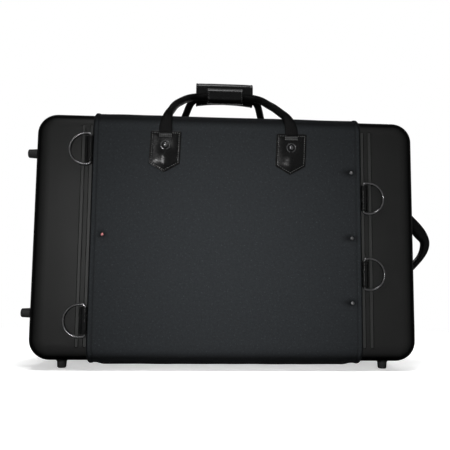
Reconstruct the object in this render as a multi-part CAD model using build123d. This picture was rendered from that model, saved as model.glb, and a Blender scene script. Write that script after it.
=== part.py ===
from build123d import *
import os
from math import asin, cos, radians, sin, sqrt

# Hard case for a set of trumpets, in millimetres.
# Two moulded half shells meet at a zip. The base half, at -Y, is worn against the back and
# carries the strap rings. The lid half, at +Y, swings down about a textile hinge along the
# bottom edge. +X is the end with the carrying strap, +Z is up, and Z = 0 is the floor.

# Moulded half shells
case_length = 600.0
case_height = 382.0
half_depth = 120.0
corner_radius = 32.0
edge_radius = 26.0
shell_wall = 3.5
parting_gap = 0.3

# Fabric wrapped round the middle of each half
cover_length = 418.0
cover_thickness = 2.0
cover_edge_to_parting = 5.0
hem_width = 7.0
hem_step = 0.8
belly_sag = 4.0
belly_start = 34.0

# Moulded beads beside the fabric
bead_width = 6.0
bead_height = 1.5
bead_bevel = 1.0
bead_length = 340.0
bead_spacing = 12.0
bead_to_cover = 0.3

# Perimeter zip
zip_recess = 2.0
zip_recess_width = 18.0
zip_tape_thickness = 1.2
zip_tape_width = 14.0
tape_to_coil = 0.1
coil_half_width = 2.45
coil_proud = 0.4
zip_end_to_middle = 216.0

# Textile hinge
hinge_leaf_width = 26.0
hinge_leaf_thickness = 1.2
hinge_leaf_to_hem = 1.0

# Feet
bottom_foot_height = 13.5
end_foot_height = 17.5
foot_flange_radius = 9.2
foot_flange_thickness = 1.6
foot_root_depth = 3.2
foot_root_radius = 7.6
foot_tip_radius = 6.8
foot_tip_bevel = 1.2
foot_bore_radius = 3.4
foot_bore_depth = 4.5
foot_to_face = 40.0
bottom_foot_x = 252.5
end_foot_spacing = 252.0
end_foot_mid_height = 209.5
screw_head_radius = 3.1
screw_head_height = 2.0
screw_head_bevel = 0.7

# Handle patches, rivets and webbing ends
patch_x = 98.5
patch_width = 48.0
patch_side_height = 52.0
patch_tip_height = 14.0
patch_corner = 3.0
patch_thickness = 2.2
patch_bevel = 0.6
patch_top_below_top = 28.0
patch_rivet_below_patch_top = 22.5
patch_rivet_radius = 4.2
patch_rivet_height = 2.6
webbing_width = 20.0
webbing_thickness = 2.4
webbing_hem_below_patch_top = 11.0
handle_hinge_below_patch_top = 3.5
soft_gap = 0.3

# Handle loops and their leather sleeves
loop_radius = 6.5
grip_height_above_top = 65.5
grip_gap = 1.2
sleeve_wall = 2.0
front_sleeve_length = 63.0
front_sleeve_depth = 18.0
front_sleeve_height = 23.0
rear_sleeve_length = 102.0
rear_sleeve_depth = 24.0
rear_sleeve_height = 43.0
rear_sleeve_lift = 10.0

# Strap rings in leather tabs
ring_wire_radius = 1.75
ring_radius = 24.2
ring_centre_to_bar = 8.5
ring_bend_radius = 3.4
ring_play = 0.3
tab_leather = 1.3
tab_length = 40.0
tab_reach = 7.8
ring_rows = {
    "ring_upper_left": (-1, 335.9),
    "ring_lower_left": (-1, 74.5),
    "ring_upper_right": (1, 267.0),
    "ring_lower_right": (1, 148.5),
}

# Cover rivets: one on the left, a column of them on the right, as heights
left_rivet_inset = 18.0
left_rivet_heights = (204.1,)
right_rivet_inset = 14.5
right_rivet_heights = (307.7, 204.2, 103.9)
cover_rivet_radius = 3.0
cover_rivet_height = 1.4

# Carrying strap on the end
end_strap_width = 25.0
end_strap_reach = 51.0
end_strap_thickness = 12.0
end_strap_flat = 3.0
end_strap_root_half = 76.0
end_strap_root_step = 6.0
end_strap_tab_length = 30.0
end_strap_mid_height = 205.0
end_strap_from_face = 82.0
strap_rivet_radius = 4.2
strap_rivet_height = 1.8

# Zip sliders and pullers
slider_length = 12.0
slider_width = 8.6
slider_plate = 1.4
slider_corner = 2.0
slider_lift = 0.3
slider_skirt = 1.2
slider_skirt_length = 7.0
left_slider_x = 138.0
right_slider_x = 156.0
ear_length = 3.2
ear_thickness = 1.2
ear_height = 3.4
ear_over_pin = 0.6
pin_radius = 0.8
pin_play = 0.06
barrel_radius = 1.9
barrel_length = 5.4
puller_length = 27.0
puller_width = 7.0
puller_thickness = 1.6
puller_corner = 1.8
stem_length = 3.2
stem_in_barrel = 0.6

# Interior
liner_thickness = 8.0
liner_below_rim = 6.0
instrument_count = 4
saddle_thickness = 46.0
saddle_x = 150.0
saddle_below_rim = 14.0
notch_floor = 26.0
bell_notch_radius = 33.0
tail_notch_radius = 17.0
lid_pad_height = 40.0
lid_pad_crown = 12.0

# Music pocket on the lid
pocket_length = 380.0
pocket_height = 236.0
pocket_depth = 15.0
pocket_wall = 2.0
pocket_corner = 22.0
pocket_edge = 5.0
pocket_bottom = 48.0
pocket_mouth_length = 330.0
pocket_mouth_width = 7.0
pocket_mouth_below_top = 30.0
pocket_tape_width = 22.0
pocket_tape_thickness = 0.8
pocket_tape_past_mouth = 4.0
pocket_coil_end_gap = 4.0
pocket_coil_width = 5.4
pocket_coil_proud = 0.5
pocket_slider_to_mouth_end = 11.0

# Places that follow from the sizes above
z_low = bottom_foot_height
z_high = z_low + case_height
z_mid = (z_low + z_high) / 2
cover_half = cover_length / 2
cover_face = half_depth + cover_thickness
patch_top = z_high - patch_top_below_top
hinge_height = z_low - cover_thickness - hinge_leaf_thickness
rim = parting_gap / 2
first_bead_x = cover_half + bead_to_cover + bead_width / 2
notch_pitch = (case_height - 2 * (shell_wall + liner_thickness)) / instrument_count

BACKWARD = (0, -1, 0)


def facing_plane(x, y, z):
    """A plane whose normal looks out of the base's face, with X across and Z up."""
    return Plane((x, y, z), x_dir=(1, 0, 0), z_dir=BACKWARD)


def outline_prism(inset, y_from, y_to):
    """The case's rounded outline, drawn in all round by inset, between two depths."""
    outline = RectangleRounded(
        case_length - 2 * inset, case_height - 2 * inset, corner_radius - inset
    )
    return extrude(facing_plane(0, y_to, z_mid) * outline, y_to - y_from)


def half_form(inset, y_to):
    """The rounded form of the base half, drawn in by inset."""
    y_face = -half_depth + inset
    body = outline_prism(inset, y_face, y_to)
    face_edges = body.edges().filter_by_position(Axis.Y, y_face - 0.01, y_face + 0.01)
    return fillet(face_edges, edge_radius - inset)


def outline_ring(outer_inset, inner_inset, y_from, y_to):
    """A band that follows the case's outline."""
    return outline_prism(outer_inset, y_from, y_to) - outline_prism(
        inner_inset, y_from, y_to
    )


def group(pieces):
    """Like pieces that share a node, as one group of separate solids."""
    return Compound([solid for piece in pieces for solid in piece.solids()])


def to_lid(part):
    """The same piece on the lid half."""
    return mirror(part, about=Plane.XZ)


def bead(x):
    """A raised bead down the shell beside the fabric, bevelled along its crown."""
    root = shell_wall / 2
    y_crown = -half_depth - bead_height
    slot = SlotOverall(bead_length, bead_width, rotation=90)
    ridge = extrude(
        facing_plane(x, -half_depth + root, z_mid) * slot, root + bead_height
    )
    crown = ridge.edges().filter_by_position(Axis.Y, y_crown - 0.01, y_crown + 0.01)
    return chamfer(crown, bead_bevel)


def half_shell():
    shell = half_form(0, -rim) - half_form(shell_wall, -rim)
    shell -= outline_ring(-1.0, zip_recess, -zip_recess_width, -rim)
    for side in (-1, 1):
        for step in (0, bead_spacing):
            shell += bead(side * (first_bead_x + step))
    return shell


def half_section(grow, y_edge):
    """The half's cross-section in the YZ plane, grown outwards."""
    depth = half_depth + grow - y_edge
    height = case_height + 2 * grow
    sheet = Pos(-y_edge - depth / 2, z_mid) * Rectangle(depth, height)
    return fillet(sheet.vertices().group_by(Axis.X)[0], edge_radius + grow)


def belly():
    """The slack of the fabric under the case."""
    height = z_low - cover_thickness
    near = (-belly_start, height)
    far = (-half_depth + edge_radius, height)
    low = ((near[0] + far[0]) / 2, height - belly_sag)
    return make_face([ThreePointArc(near, low, far), Line(far, near)])


def cover():
    y_edge = cover_edge_to_parting
    inside = half_section(0, y_edge)
    sheet = half_section(cover_thickness, y_edge) + belly() - inside
    hem = half_section(cover_thickness + hem_step, y_edge) - inside
    body = extrude(Plane.YZ * sheet, cover_half - hem_width, both=True)
    for side in (-1, 1):
        edge = Plane.YZ.offset(side * cover_half) * hem
        body += extrude(edge, -side * hem_width)
    return body


def zip_gap():
    """The stretch of the outline along the bottom that the hinge takes from the zip."""
    return Pos(0, 0, z_low) * Box(
        2 * zip_end_to_middle, 2 * half_depth, 2 * corner_radius
    )


def zip_tape():
    y_outer = -coil_half_width - rim - tape_to_coil
    ring = outline_ring(
        zip_recess - zip_tape_thickness, zip_recess, y_outer - zip_tape_width, y_outer
    )
    return ring - zip_gap()


def zip_coil():
    return (
        outline_ring(-coil_proud, zip_recess, -coil_half_width - rim, -rim) - zip_gap()
    )


def hinge_leaf():
    """Half of the textile hinge, sewn on under the fabric's edge."""
    width = hinge_leaf_width - rim
    length = cover_length - 2 * (hem_width + hinge_leaf_to_hem)
    leaf = Box(length, width, hinge_leaf_thickness)
    return Pos(0, -rim - width / 2, hinge_height + hinge_leaf_thickness / 2) * leaf


def foot(height):
    """A rubber bumper, pointing down from its seat, with a bore for its screw."""
    bore_top = -height + foot_bore_depth
    outline = Polyline(
        (0, 0),
        (foot_flange_radius, 0),
        (foot_flange_radius, -foot_flange_thickness),
        (foot_root_radius, -foot_root_depth),
        (foot_tip_radius, -height),
        (foot_bore_radius, -height),
        (foot_bore_radius, bore_top),
        (0, bore_top),
        close=True,
    )
    body = revolve(Plane.XZ * make_face(outline), Axis.Z)
    tip = body.edges().filter_by(GeomType.CIRCLE).group_by(Axis.Z)[0].sort_by(
        SortBy.RADIUS
    )[-1]
    return chamfer(tip, foot_tip_bevel)


def foot_screw(height):
    """The pan head at the bottom of a foot's bore."""
    seat = -height + foot_bore_depth
    head = Pos(0, 0, seat - screw_head_height / 2) * Cylinder(
        screw_head_radius, screw_head_height
    )
    return chamfer(head.edges().group_by(Axis.Z)[0], screw_head_bevel)


def foot_seats():
    """Where the base's feet sit, and how tall the foot there is."""
    y = -half_depth + foot_to_face
    seats = []
    for side in (-1, 1):
        seats.append((Location((side * bottom_foot_x, y, z_low)), bottom_foot_height))
    for side in (-1, 1):
        z = end_foot_mid_height + side * end_foot_spacing / 2
        seats.append((Location((-case_length / 2, y, z), (0, 90, 0)), end_foot_height))
    return seats


def feet():
    return group([seat * foot(height) for seat, height in foot_seats()])


def foot_screws():
    return group([seat * foot_screw(height) for seat, height in foot_seats()])


def handle_patch(x):
    """A five-sided leather patch, pointing down."""
    half = patch_width / 2
    low = patch_top - patch_side_height
    shape = make_face(
        Polyline(
            (-half, 0),
            (half, 0),
            (half, low - patch_top),
            (0, low - patch_top - patch_tip_height),
            (-half, low - patch_top),
            close=True,
        )
    )
    shape = fillet(shape.vertices().group_by(Axis.Y)[-1], patch_corner)
    patch = extrude(facing_plane(x, -cover_face, patch_top) * shape, patch_thickness)
    return chamfer(patch.faces().sort_by(Axis.Y)[0].edges(), patch_bevel)


def handle_patches():
    return group([handle_patch(side * patch_x) for side in (-1, 1)])


def dome(radius, height):
    """A domed rivet head that points along +Z from its seat."""
    ball_radius = (radius**2 + height**2) / (2 * height)
    ball = Pos(0, 0, height - ball_radius) * Sphere(ball_radius)
    return ball & Pos(0, 0, height) * Box(4 * radius, 4 * radius, 2 * height)


def facing_dome(radius, height, x, y, z):
    return facing_plane(x, y, z) * dome(radius, height)


def handle_rivets():
    y = -cover_face - patch_thickness
    z = patch_top - patch_rivet_below_patch_top
    return group(
        [
            facing_dome(patch_rivet_radius, patch_rivet_height, side * patch_x, y, z)
            for side in (-1, 1)
        ]
    )


def webbing_ends():
    """The sewn flat ends of a handle loop, on the patches' upper part."""
    top = patch_top - handle_hinge_below_patch_top
    low = patch_top - webbing_hem_below_patch_top
    y = -cover_face - patch_thickness - webbing_thickness / 2
    end = Box(webbing_width, webbing_thickness, top - low)
    return group(
        [Pos(side * patch_x, y, (top + low) / 2) * end for side in (-1, 1)]
    )


def loop_root(side, tube_start, run_end):
    """A loop's flat root, which bends over the case's edge and rounds into the tube."""
    start_z = patch_top - handle_hinge_below_patch_top + soft_gap
    y_flat = -cover_face - patch_thickness - soft_gap - webbing_thickness / 2
    centre_y = -half_depth + edge_radius
    centre_z = z_high - edge_radius
    half_flat = webbing_thickness / 2
    upright = Plane((side * patch_x, y_flat, start_z), x_dir=(1, 0, 0), z_dir=(0, 0, 1))
    sections = [upright * Ellipse(webbing_width / 2, half_flat)]
    over_cover = edge_radius + cover_thickness + soft_gap
    drift = patch_x - abs(tube_start[0])
    # Angle round the edge, half width, half thickness, lift off the fabric, share of drift
    steps = (
        (176, 10.0, half_flat, 1.9, 0.0),
        (154, 9.0, 2.5, 0.9, 0.15),
        (130, 7.4, 4.6, 0.9, 0.5),
    )
    for angle, half_width, half_thick, lift, drift_share in steps:
        reach = over_cover + half_thick + lift
        a = radians(angle)
        origin = (
            side * (patch_x - drift_share * drift),
            centre_y + reach * cos(a),
            centre_z + reach * sin(a),
        )
        bent = Plane(origin, x_dir=(1, 0, 0), z_dir=(0, sin(a), -cos(a)))
        sections.append(bent * Ellipse(half_width, half_thick))
    direction = Vector(*run_end) - Vector(*tube_start)
    sections.append(
        Plane(tube_start, x_dir=(1, 0, 0), z_dir=direction) * Circle(loop_radius)
    )
    return loft(sections)


def handle_loop(route, bends):
    """A webbing tube from one patch to the other, along a route given by its corners."""
    path = FilletPolyline(*route, radius=bends)
    start = Plane(path @ 0, z_dir=path % 0)
    tube = sweep(start * Circle(loop_radius), path=path)
    left = loop_root(-1, route[0], route[1])
    right = loop_root(1, route[-1], route[-2])
    return tube + left + right


def front_loop():
    """The base's loop. Its legs rise from the face and lean back to the parting plane."""
    y = -(grip_gap + front_sleeve_depth) / 2
    z = z_high + grip_height_above_top
    route = [
        (-patch_x + 6.4, -half_depth + 20, z_high + 11),
        (-patch_x + 18.5, -half_depth + 62, z_high + 38.5),
        (-46, y, z),
        (46, y, z),
        (patch_x - 24.1, -half_depth + 65, z_high + 38.2),
        (patch_x - 11, -half_depth + 20, z_high + 11),
    ]
    return handle_loop(route, [90, 25, 25, 90])


def rear_loop():
    """The lid's loop, which leaves its longer sleeve more steeply."""
    y = -(grip_gap + rear_sleeve_depth) / 2
    z = z_high + grip_height_above_top
    route = [
        (-patch_x + 8.5, -half_depth + 20, z_high + 11),
        (-patch_x + 27.5, -half_depth + 60, z_high + 48.5),
        (-57, y - 1.2, z - 2.8),
        (-40, y, z - 1.5),
        (40, y, z - 1.5),
        (58, y - 1.2, z - 2.8),
        (patch_x - 25.5, -half_depth + 60, z_high + 48.5),
        (patch_x - 8.5, -half_depth + 20, z_high + 11),
    ]
    return to_lid(handle_loop(route, [75, 12, 50, 50, 12, 75]))


def grip_sleeve(length, depth, height, lift):
    """A leather sleeve round a loop, open at both ends."""
    outer = SlotOverall(height, depth, rotation=90)
    inner = SlotOverall(
        height - 2 * sleeve_wall, depth - 2 * sleeve_wall, rotation=90
    )
    centre = (0, -(grip_gap + depth) / 2, z_high + grip_height_above_top + lift)
    section = Plane(centre, x_dir=(0, 1, 0), z_dir=(1, 0, 0)) * (outer - inner)
    return extrude(section, length / 2, both=True)


def ring_bar():
    """The distance of a ring's bar from the case's face."""
    return bead_height + tab_leather + ring_play + ring_wire_radius


def strap_ring(side, z):
    """A bent wire D that lies outwards on the shell, with its bar in the leather tab."""
    half_bar = sqrt(ring_radius**2 - ring_centre_to_bar**2)
    reach = ring_radius + ring_centre_to_bar
    bar = Line((0, -half_bar), (0, half_bar))
    bow = ThreePointArc((0, half_bar), (reach, 0), (0, -half_bar))
    shape = make_face([bar, bow])
    shape = fillet(shape.vertices(), ring_bend_radius)
    path = shape.face().outer_wire()
    ring = sweep(Plane(path @ 0, z_dir=path % 0) * Circle(ring_wire_radius), path=path)
    tilt = asin((ring_bar() - ring_wire_radius - soft_gap) / reach)
    lying = Plane(
        (side * first_bead_x, -half_depth - ring_bar(), z),
        x_dir=(side * cos(tilt), sin(tilt), 0),
        z_dir=(sin(tilt), -side * cos(tilt), 0),
    )
    return lying * ring


def ring_tab(side, z):
    """A leather tab folded round a ring's bar, with its tongue down in the groove."""
    inner = ring_wire_radius + ring_play
    outer = inner + tab_leather
    bar = ring_bar()
    eye = Circle(outer)
    tongue = make_face(
        Polyline(
            (outer * 0.48, outer * 0.85),
            (tab_reach, -bar + 2 * tab_leather),
            (tab_reach, -bar),
            (bead_width / 2 + 0.3, -bar),
            (bead_width / 2 + 0.1, -bar + bead_height + 0.6),
            (outer * 0.72, -outer * 0.55),
            close=True,
        )
    )
    section = eye + tongue - Circle(inner)
    plane = Plane(
        (first_bead_x, -half_depth - bar, z), x_dir=(1, 0, 0), z_dir=(0, 0, -1)
    )
    tab = extrude(plane * section, tab_length / 2, both=True)
    return tab if side > 0 else mirror(tab, about=Plane.YZ)


def ring_tabs():
    return group([ring_tab(side, z) for side, z in ring_rows.values()])


def cover_rivets(x, heights):
    """Rivets through the fabric, one above another."""
    return group(
        [
            facing_dome(cover_rivet_radius, cover_rivet_height, x, -cover_face, z)
            for z in heights
        ]
    )


def end_strap():
    """The short carrying strap on the end: a bowed tube of webbing with flat ends."""
    x = case_length / 2
    z = end_strap_mid_height
    x_flat = x + end_strap_flat
    tab = end_strap_root_half + end_strap_tab_length
    root = end_strap_root_half
    inner_root = root - end_strap_root_step
    inner_apex = end_strap_reach - end_strap_thickness
    outline = [
        Polyline((x, z - inner_root), (x, z - tab), (x_flat, z - tab), (x_flat, z - root)),
        ThreePointArc((x_flat, z - root), (x + end_strap_reach, z), (x_flat, z + root)),
        Polyline((x_flat, z + root), (x_flat, z + tab), (x, z + tab), (x, z + inner_root)),
        ThreePointArc((x, z + inner_root), (x + inner_apex, z), (x, z - inner_root)),
    ]
    middle = -half_depth + end_strap_from_face
    face = facing_plane(0, middle, 0) * make_face(outline)
    return extrude(face, end_strap_width / 2, both=True)


def end_strap_rivets():
    x = case_length / 2 + end_strap_flat
    y = -half_depth + end_strap_from_face
    offset = end_strap_root_half + end_strap_tab_length / 2
    head = dome(strap_rivet_radius, strap_rivet_height)
    return group(
        [
            Location((x, y, end_strap_mid_height + side * offset), (0, 90, 0)) * head
            for side in (-1, 1)
        ]
    )


def slider_frame(seat_height):
    """A slider that sits over a coil along X. Its plate starts at Z = 0, over the coil."""
    plate = Pos(0, 0, slider_plate / 2) * Box(slider_length, slider_width, slider_plate)
    plate = fillet(plate.edges().filter_by(Axis.Z), slider_corner)
    skirt = Pos(0, -slider_width / 2 + slider_skirt / 2, -seat_height / 2) * Box(
        slider_skirt_length, slider_skirt, seat_height
    )
    body = plate + skirt
    for side in (-1, 1):
        y = side * (barrel_length / 2 + soft_gap + ear_thickness / 2)
        body += Pos(0, y, slider_plate + ear_height / 2) * Box(
            ear_length, ear_thickness, ear_height
        )
    pin_length = barrel_length + 2 * (soft_gap + ear_thickness)
    body += Pos(0, 0, pin_height()) * Rot(90, 0, 0) * Cylinder(pin_radius, pin_length)
    return body


def pin_height():
    """The puller's pin above the underside of the slider's plate."""
    return slider_plate + ear_height - pin_radius - ear_over_pin


def puller():
    """A flat puller that points along +X from a barrel round the pin at the origin."""
    barrel = Rot(90, 0, 0) * Cylinder(barrel_radius, barrel_length)
    start = barrel_radius - stem_in_barrel
    blade_start = start + stem_length
    stem_reach = stem_length + puller_corner
    stem = Pos(start + stem_reach / 2, 0, 0) * Box(
        stem_reach, barrel_length, puller_thickness
    )
    blade_length = puller_length - blade_start
    blade = Pos(blade_start + blade_length / 2, 0, 0) * Box(
        blade_length, puller_width, puller_thickness
    )
    blade = fillet(blade.edges().filter_by(Axis.Z), puller_corner)
    bore = Rot(90, 0, 0) * Cylinder(pin_radius + pin_play, 2 * barrel_length)
    return barrel + stem + blade - bore


def top_slider(x):
    """A slider of the perimeter zip, on the straight run along the top."""
    seat = z_high + coil_proud + slider_lift
    skirt_reach = seat - (z_high - zip_recess + zip_tape_thickness) - slider_lift
    return Pos(x, 0, seat) * slider_frame(skirt_reach)


def top_puller(x, side):
    z = z_high + coil_proud + slider_lift + pin_height()
    piece = puller() if side > 0 else Rot(0, 0, 180) * puller()
    return Pos(x, 0, z) * piece


def half_liner():
    """Plush over foam, inside a half shell."""
    y_rim = -liner_below_rim
    return half_form(shell_wall, y_rim) - half_form(shell_wall + liner_thickness, y_rim)


def liner_room():
    """The space that the liner leaves inside a half."""
    return half_form(shell_wall + liner_thickness, -rim)


def base_saddle(side):
    """A padded block across the base, with a notch for each instrument.

    The instruments lie head to tail, so wide and narrow notches take turns, and the two
    saddles are opposite hands.
    """
    x = side * saddle_x
    y_top = -saddle_below_rim
    y_low = -half_depth + shell_wall + liner_thickness + notch_floor
    block = Pos(x, (y_top - half_depth) / 2, z_mid) * Box(
        saddle_thickness, half_depth + y_top, case_height
    )
    body = block & liner_room()
    for i in range(instrument_count):
        z = z_low + shell_wall + liner_thickness + (i + 0.5) * notch_pitch
        wide = (i % 2 == 0) == (side < 0)
        radius = bell_notch_radius if wide else tail_notch_radius
        y_centre = y_low + radius
        throat = y_top + 1 - y_centre
        body -= Pos(x, y_centre, z) * Rot(0, 90, 0) * Cylinder(
            radius, 2 * saddle_thickness
        )
        body -= Pos(x, y_centre + throat / 2, z) * Box(
            2 * saddle_thickness, throat, 2 * radius
        )
    return body


def lid_pad(side):
    """A soft block in the lid that presses on the instruments, with rounded long edges."""
    y_top = -half_depth + shell_wall + liner_thickness + lid_pad_height
    block = Pos(side * saddle_x, (y_top - half_depth) / 2, z_mid) * Box(
        saddle_thickness, half_depth + y_top, case_height
    )
    crown = block.edges().filter_by(Axis.Z).group_by(Axis.Y)[-1]
    return to_lid(fillet(crown, lid_pad_crown) & liner_room())


def music_pocket():
    """A flat fabric pocket on the lid, with a mouth for its zip near the top."""
    middle = pocket_bottom + pocket_height / 2
    outer = extrude(
        facing_plane(0, -cover_face, middle)
        * RectangleRounded(pocket_length, pocket_height, pocket_corner),
        pocket_depth,
    )
    front = -cover_face - pocket_depth
    rim_edges = outer.edges().filter_by_position(Axis.Y, front - 0.01, front + 0.01)
    outer = fillet(rim_edges, pocket_edge)
    inner = extrude(
        facing_plane(0, -cover_face, middle)
        * RectangleRounded(
            pocket_length - 2 * pocket_wall,
            pocket_height - 2 * pocket_wall,
            pocket_corner - pocket_wall,
        ),
        pocket_depth - pocket_wall,
    )
    inner_front = front + pocket_wall
    inner_edges = inner.edges().filter_by_position(
        Axis.Y, inner_front - 0.01, inner_front + 0.01
    )
    inner = chamfer(inner_edges, pocket_edge - pocket_wall)
    mouth = extrude(
        facing_plane(0, front + pocket_depth / 2, pocket_mouth_height())
        * SlotOverall(pocket_mouth_length, pocket_mouth_width),
        pocket_depth,
    )
    return to_lid(outer - inner - mouth)


def pocket_mouth_height():
    return pocket_bottom + pocket_height - pocket_mouth_below_top


def pocket_zip():
    """The pocket's closed zip: its tape inside the panel, its coil in the mouth."""
    front = cover_face + pocket_depth
    z = pocket_mouth_height()
    tape_y = front - pocket_wall - pocket_tape_thickness / 2
    tape_length = pocket_mouth_length + 2 * pocket_tape_past_mouth
    tape = Pos(0, tape_y, z) * Box(tape_length, pocket_tape_thickness, pocket_tape_width)
    coil_length = pocket_mouth_length - 2 * pocket_coil_end_gap
    coil_depth = pocket_wall + pocket_coil_proud
    coil = Pos(0, front - pocket_wall + coil_depth / 2, z) * Box(
        coil_length, coil_depth, pocket_coil_width
    )
    return tape + coil


def on_pocket(part, y):
    """A piece made over a coil along X, turned to face out of the lid."""
    x = pocket_mouth_length / 2 - pocket_slider_to_mouth_end
    return Location((x, y, pocket_mouth_height()), (-90, 0, 0)) * part


def pocket_slider():
    y = cover_face + pocket_depth + pocket_coil_proud + slider_lift
    return on_pocket(slider_frame(pocket_coil_proud), y)


def pocket_puller():
    """The pocket's puller, which lies along the coil, away from the slider's travel."""
    y = cover_face + pocket_depth + pocket_coil_proud + slider_lift + pin_height()
    return on_pocket(puller(), y)


def save(name, part):
    export_step(part, f"parts/{name}.step")


def save_base():
    save("base_shell", half_shell())
    save("base_cover", cover())
    save("base_zip_tape", zip_tape())
    save("base_zip_coil", zip_coil())
    save("base_hinge_leaf", hinge_leaf())
    save("base_feet", feet())
    save("base_foot_screws", foot_screws())
    save("base_handle_patches", handle_patches())
    save("base_handle_rivets", handle_rivets())
    save("base_webbing_ends", webbing_ends())
    save("base_liner", half_liner())
    save("base_saddle_left", base_saddle(-1))
    save("base_saddle_right", base_saddle(1))
    left_x = -cover_half + left_rivet_inset
    right_x = cover_half - right_rivet_inset
    save("cover_rivet_left", cover_rivets(left_x, left_rivet_heights))
    save("cover_rivets_right", cover_rivets(right_x, right_rivet_heights))
    save("ring_tabs", ring_tabs())
    save("end_strap", end_strap())
    save("end_strap_rivets", end_strap_rivets())


def save_lid():
    save("lid_shell", to_lid(half_shell()))
    save("lid_cover", to_lid(cover()))
    save("lid_zip_tape", to_lid(zip_tape()))
    save("lid_zip_coil", to_lid(zip_coil()))
    save("lid_hinge_leaf", to_lid(hinge_leaf()))
    save("lid_feet", to_lid(feet()))
    save("lid_foot_screws", to_lid(foot_screws()))
    save("lid_handle_patches", to_lid(handle_patches()))
    save("lid_handle_rivets", to_lid(handle_rivets()))
    save("lid_webbing_ends", to_lid(webbing_ends()))
    save("lid_liner", to_lid(half_liner()))
    save("lid_pad_left", lid_pad(-1))
    save("lid_pad_right", lid_pad(1))
    save("music_pocket", music_pocket())
    save("pocket_zip", pocket_zip())


def save_moving():
    front = (front_sleeve_length, front_sleeve_depth, front_sleeve_height, 0)
    rear = (rear_sleeve_length, rear_sleeve_depth, rear_sleeve_height, rear_sleeve_lift)
    save("front_handle_loop", front_loop())
    save("front_grip_sleeve", grip_sleeve(*front))
    save("rear_handle_loop", rear_loop())
    save("rear_grip_sleeve", to_lid(grip_sleeve(*rear)))
    for name, (side, z) in ring_rows.items():
        save(name, strap_ring(side, z))
    save("left_slider", top_slider(left_slider_x))
    save("left_puller", top_puller(left_slider_x, -1))
    save("right_slider", top_slider(right_slider_x))
    save("right_puller", top_puller(right_slider_x, 1))
    save("pocket_slider", pocket_slider())
    save("pocket_puller", pocket_puller())


os.makedirs("parts", exist_ok=True)
save_base()
save_lid()
save_moving()
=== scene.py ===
import bmesh
import bpy
from math import asin, atan2, cos, exp, hypot, pi, radians, sin, tan, tau
from mathutils import Matrix, Vector, noise


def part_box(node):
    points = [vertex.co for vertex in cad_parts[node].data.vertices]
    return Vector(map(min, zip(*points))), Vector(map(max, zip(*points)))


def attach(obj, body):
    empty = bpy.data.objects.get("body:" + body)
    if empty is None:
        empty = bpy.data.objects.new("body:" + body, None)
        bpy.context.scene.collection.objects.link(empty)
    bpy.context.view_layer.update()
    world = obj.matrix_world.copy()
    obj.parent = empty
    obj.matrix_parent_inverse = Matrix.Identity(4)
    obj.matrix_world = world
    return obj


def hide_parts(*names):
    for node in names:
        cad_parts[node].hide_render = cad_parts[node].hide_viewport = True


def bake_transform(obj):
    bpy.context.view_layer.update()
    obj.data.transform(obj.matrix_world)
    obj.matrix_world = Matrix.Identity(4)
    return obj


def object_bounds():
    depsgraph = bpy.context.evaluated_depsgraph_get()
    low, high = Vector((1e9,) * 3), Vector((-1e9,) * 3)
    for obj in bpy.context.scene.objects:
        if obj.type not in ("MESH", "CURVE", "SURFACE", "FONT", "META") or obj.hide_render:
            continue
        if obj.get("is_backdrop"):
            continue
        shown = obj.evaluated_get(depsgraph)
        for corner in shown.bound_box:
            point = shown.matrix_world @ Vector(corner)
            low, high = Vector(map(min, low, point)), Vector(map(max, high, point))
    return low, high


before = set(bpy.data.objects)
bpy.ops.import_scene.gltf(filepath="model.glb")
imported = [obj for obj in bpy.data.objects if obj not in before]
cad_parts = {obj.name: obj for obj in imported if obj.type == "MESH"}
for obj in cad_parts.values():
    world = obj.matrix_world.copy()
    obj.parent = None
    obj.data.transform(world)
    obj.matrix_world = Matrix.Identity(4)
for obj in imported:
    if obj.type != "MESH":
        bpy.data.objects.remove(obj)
cad_low, cad_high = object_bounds()

# The camera stands a little left of the case and low, as the photograph was taken.
# Its place and angles were found from the corners, rings and feet that show there.
camera_place = Vector((-0.0593, -1.0136, 0.1285))
camera_yaw, camera_pitch, camera_roll = radians(-3.53), radians(5.96), radians(0.62)
lens_mm, sensor_mm = 46.6, 36.0
nearest_seen = 0.05

look = Vector((
    -sin(camera_yaw) * cos(camera_pitch),
    cos(camera_yaw) * cos(camera_pitch),
    sin(camera_pitch),
))
level_right = Vector((cos(camera_yaw), sin(camera_yaw), 0))
level_up = level_right.cross(look)
right = level_right * cos(camera_roll) + level_up * sin(camera_roll)
up = level_up * cos(camera_roll) - level_right * sin(camera_roll)
turn = Matrix((right, up, -look)).transposed().to_4x4()
camera = bpy.data.objects.new("camera", bpy.data.cameras.new("camera"))
camera.data.lens = lens_mm
camera.data.sensor_width = sensor_mm
camera.data.clip_start = nearest_seen
camera.matrix_world = Matrix.Translation(camera_place) @ turn
bpy.context.scene.collection.objects.link(camera)
bpy.context.scene.camera = camera
bpy.context.scene.view_settings.view_transform = "Standard"

# A pale floor under the feet, a white surround and three lamps, the main one in front at the
# left. The surround is white to the camera and in reflections, and dim as a light. The floor
# keeps the case's shadow, and is white paper all the way from there to the horizon.
surround_light = 0.14
floor_half = 6.0
paper_white = (0.9, 0.9, 0.9, 1)
floor_lift_for_camera = 0.52
shadow_reach, paper_reach = 0.5, 1.0
seen_rays = ("Is Camera Ray", "Is Glossy Ray", "Is Transmission Ray")
# Place, size, power and how widely each one's light fans out, in degrees.
lamps = {
    "front_lamp": ((-0.74, -2.45, 0.4), 0.26, 0.95, 17),
    "back_lamp": ((0.9, 2.4, 0.9), 0.9, 55.0, 180),
    "top_lamp": ((-0.1, -0.45, 2.1), 0.7, 4.5, 60),
}
lamp_aim = Vector((0.03, 0, 0.18))


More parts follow.
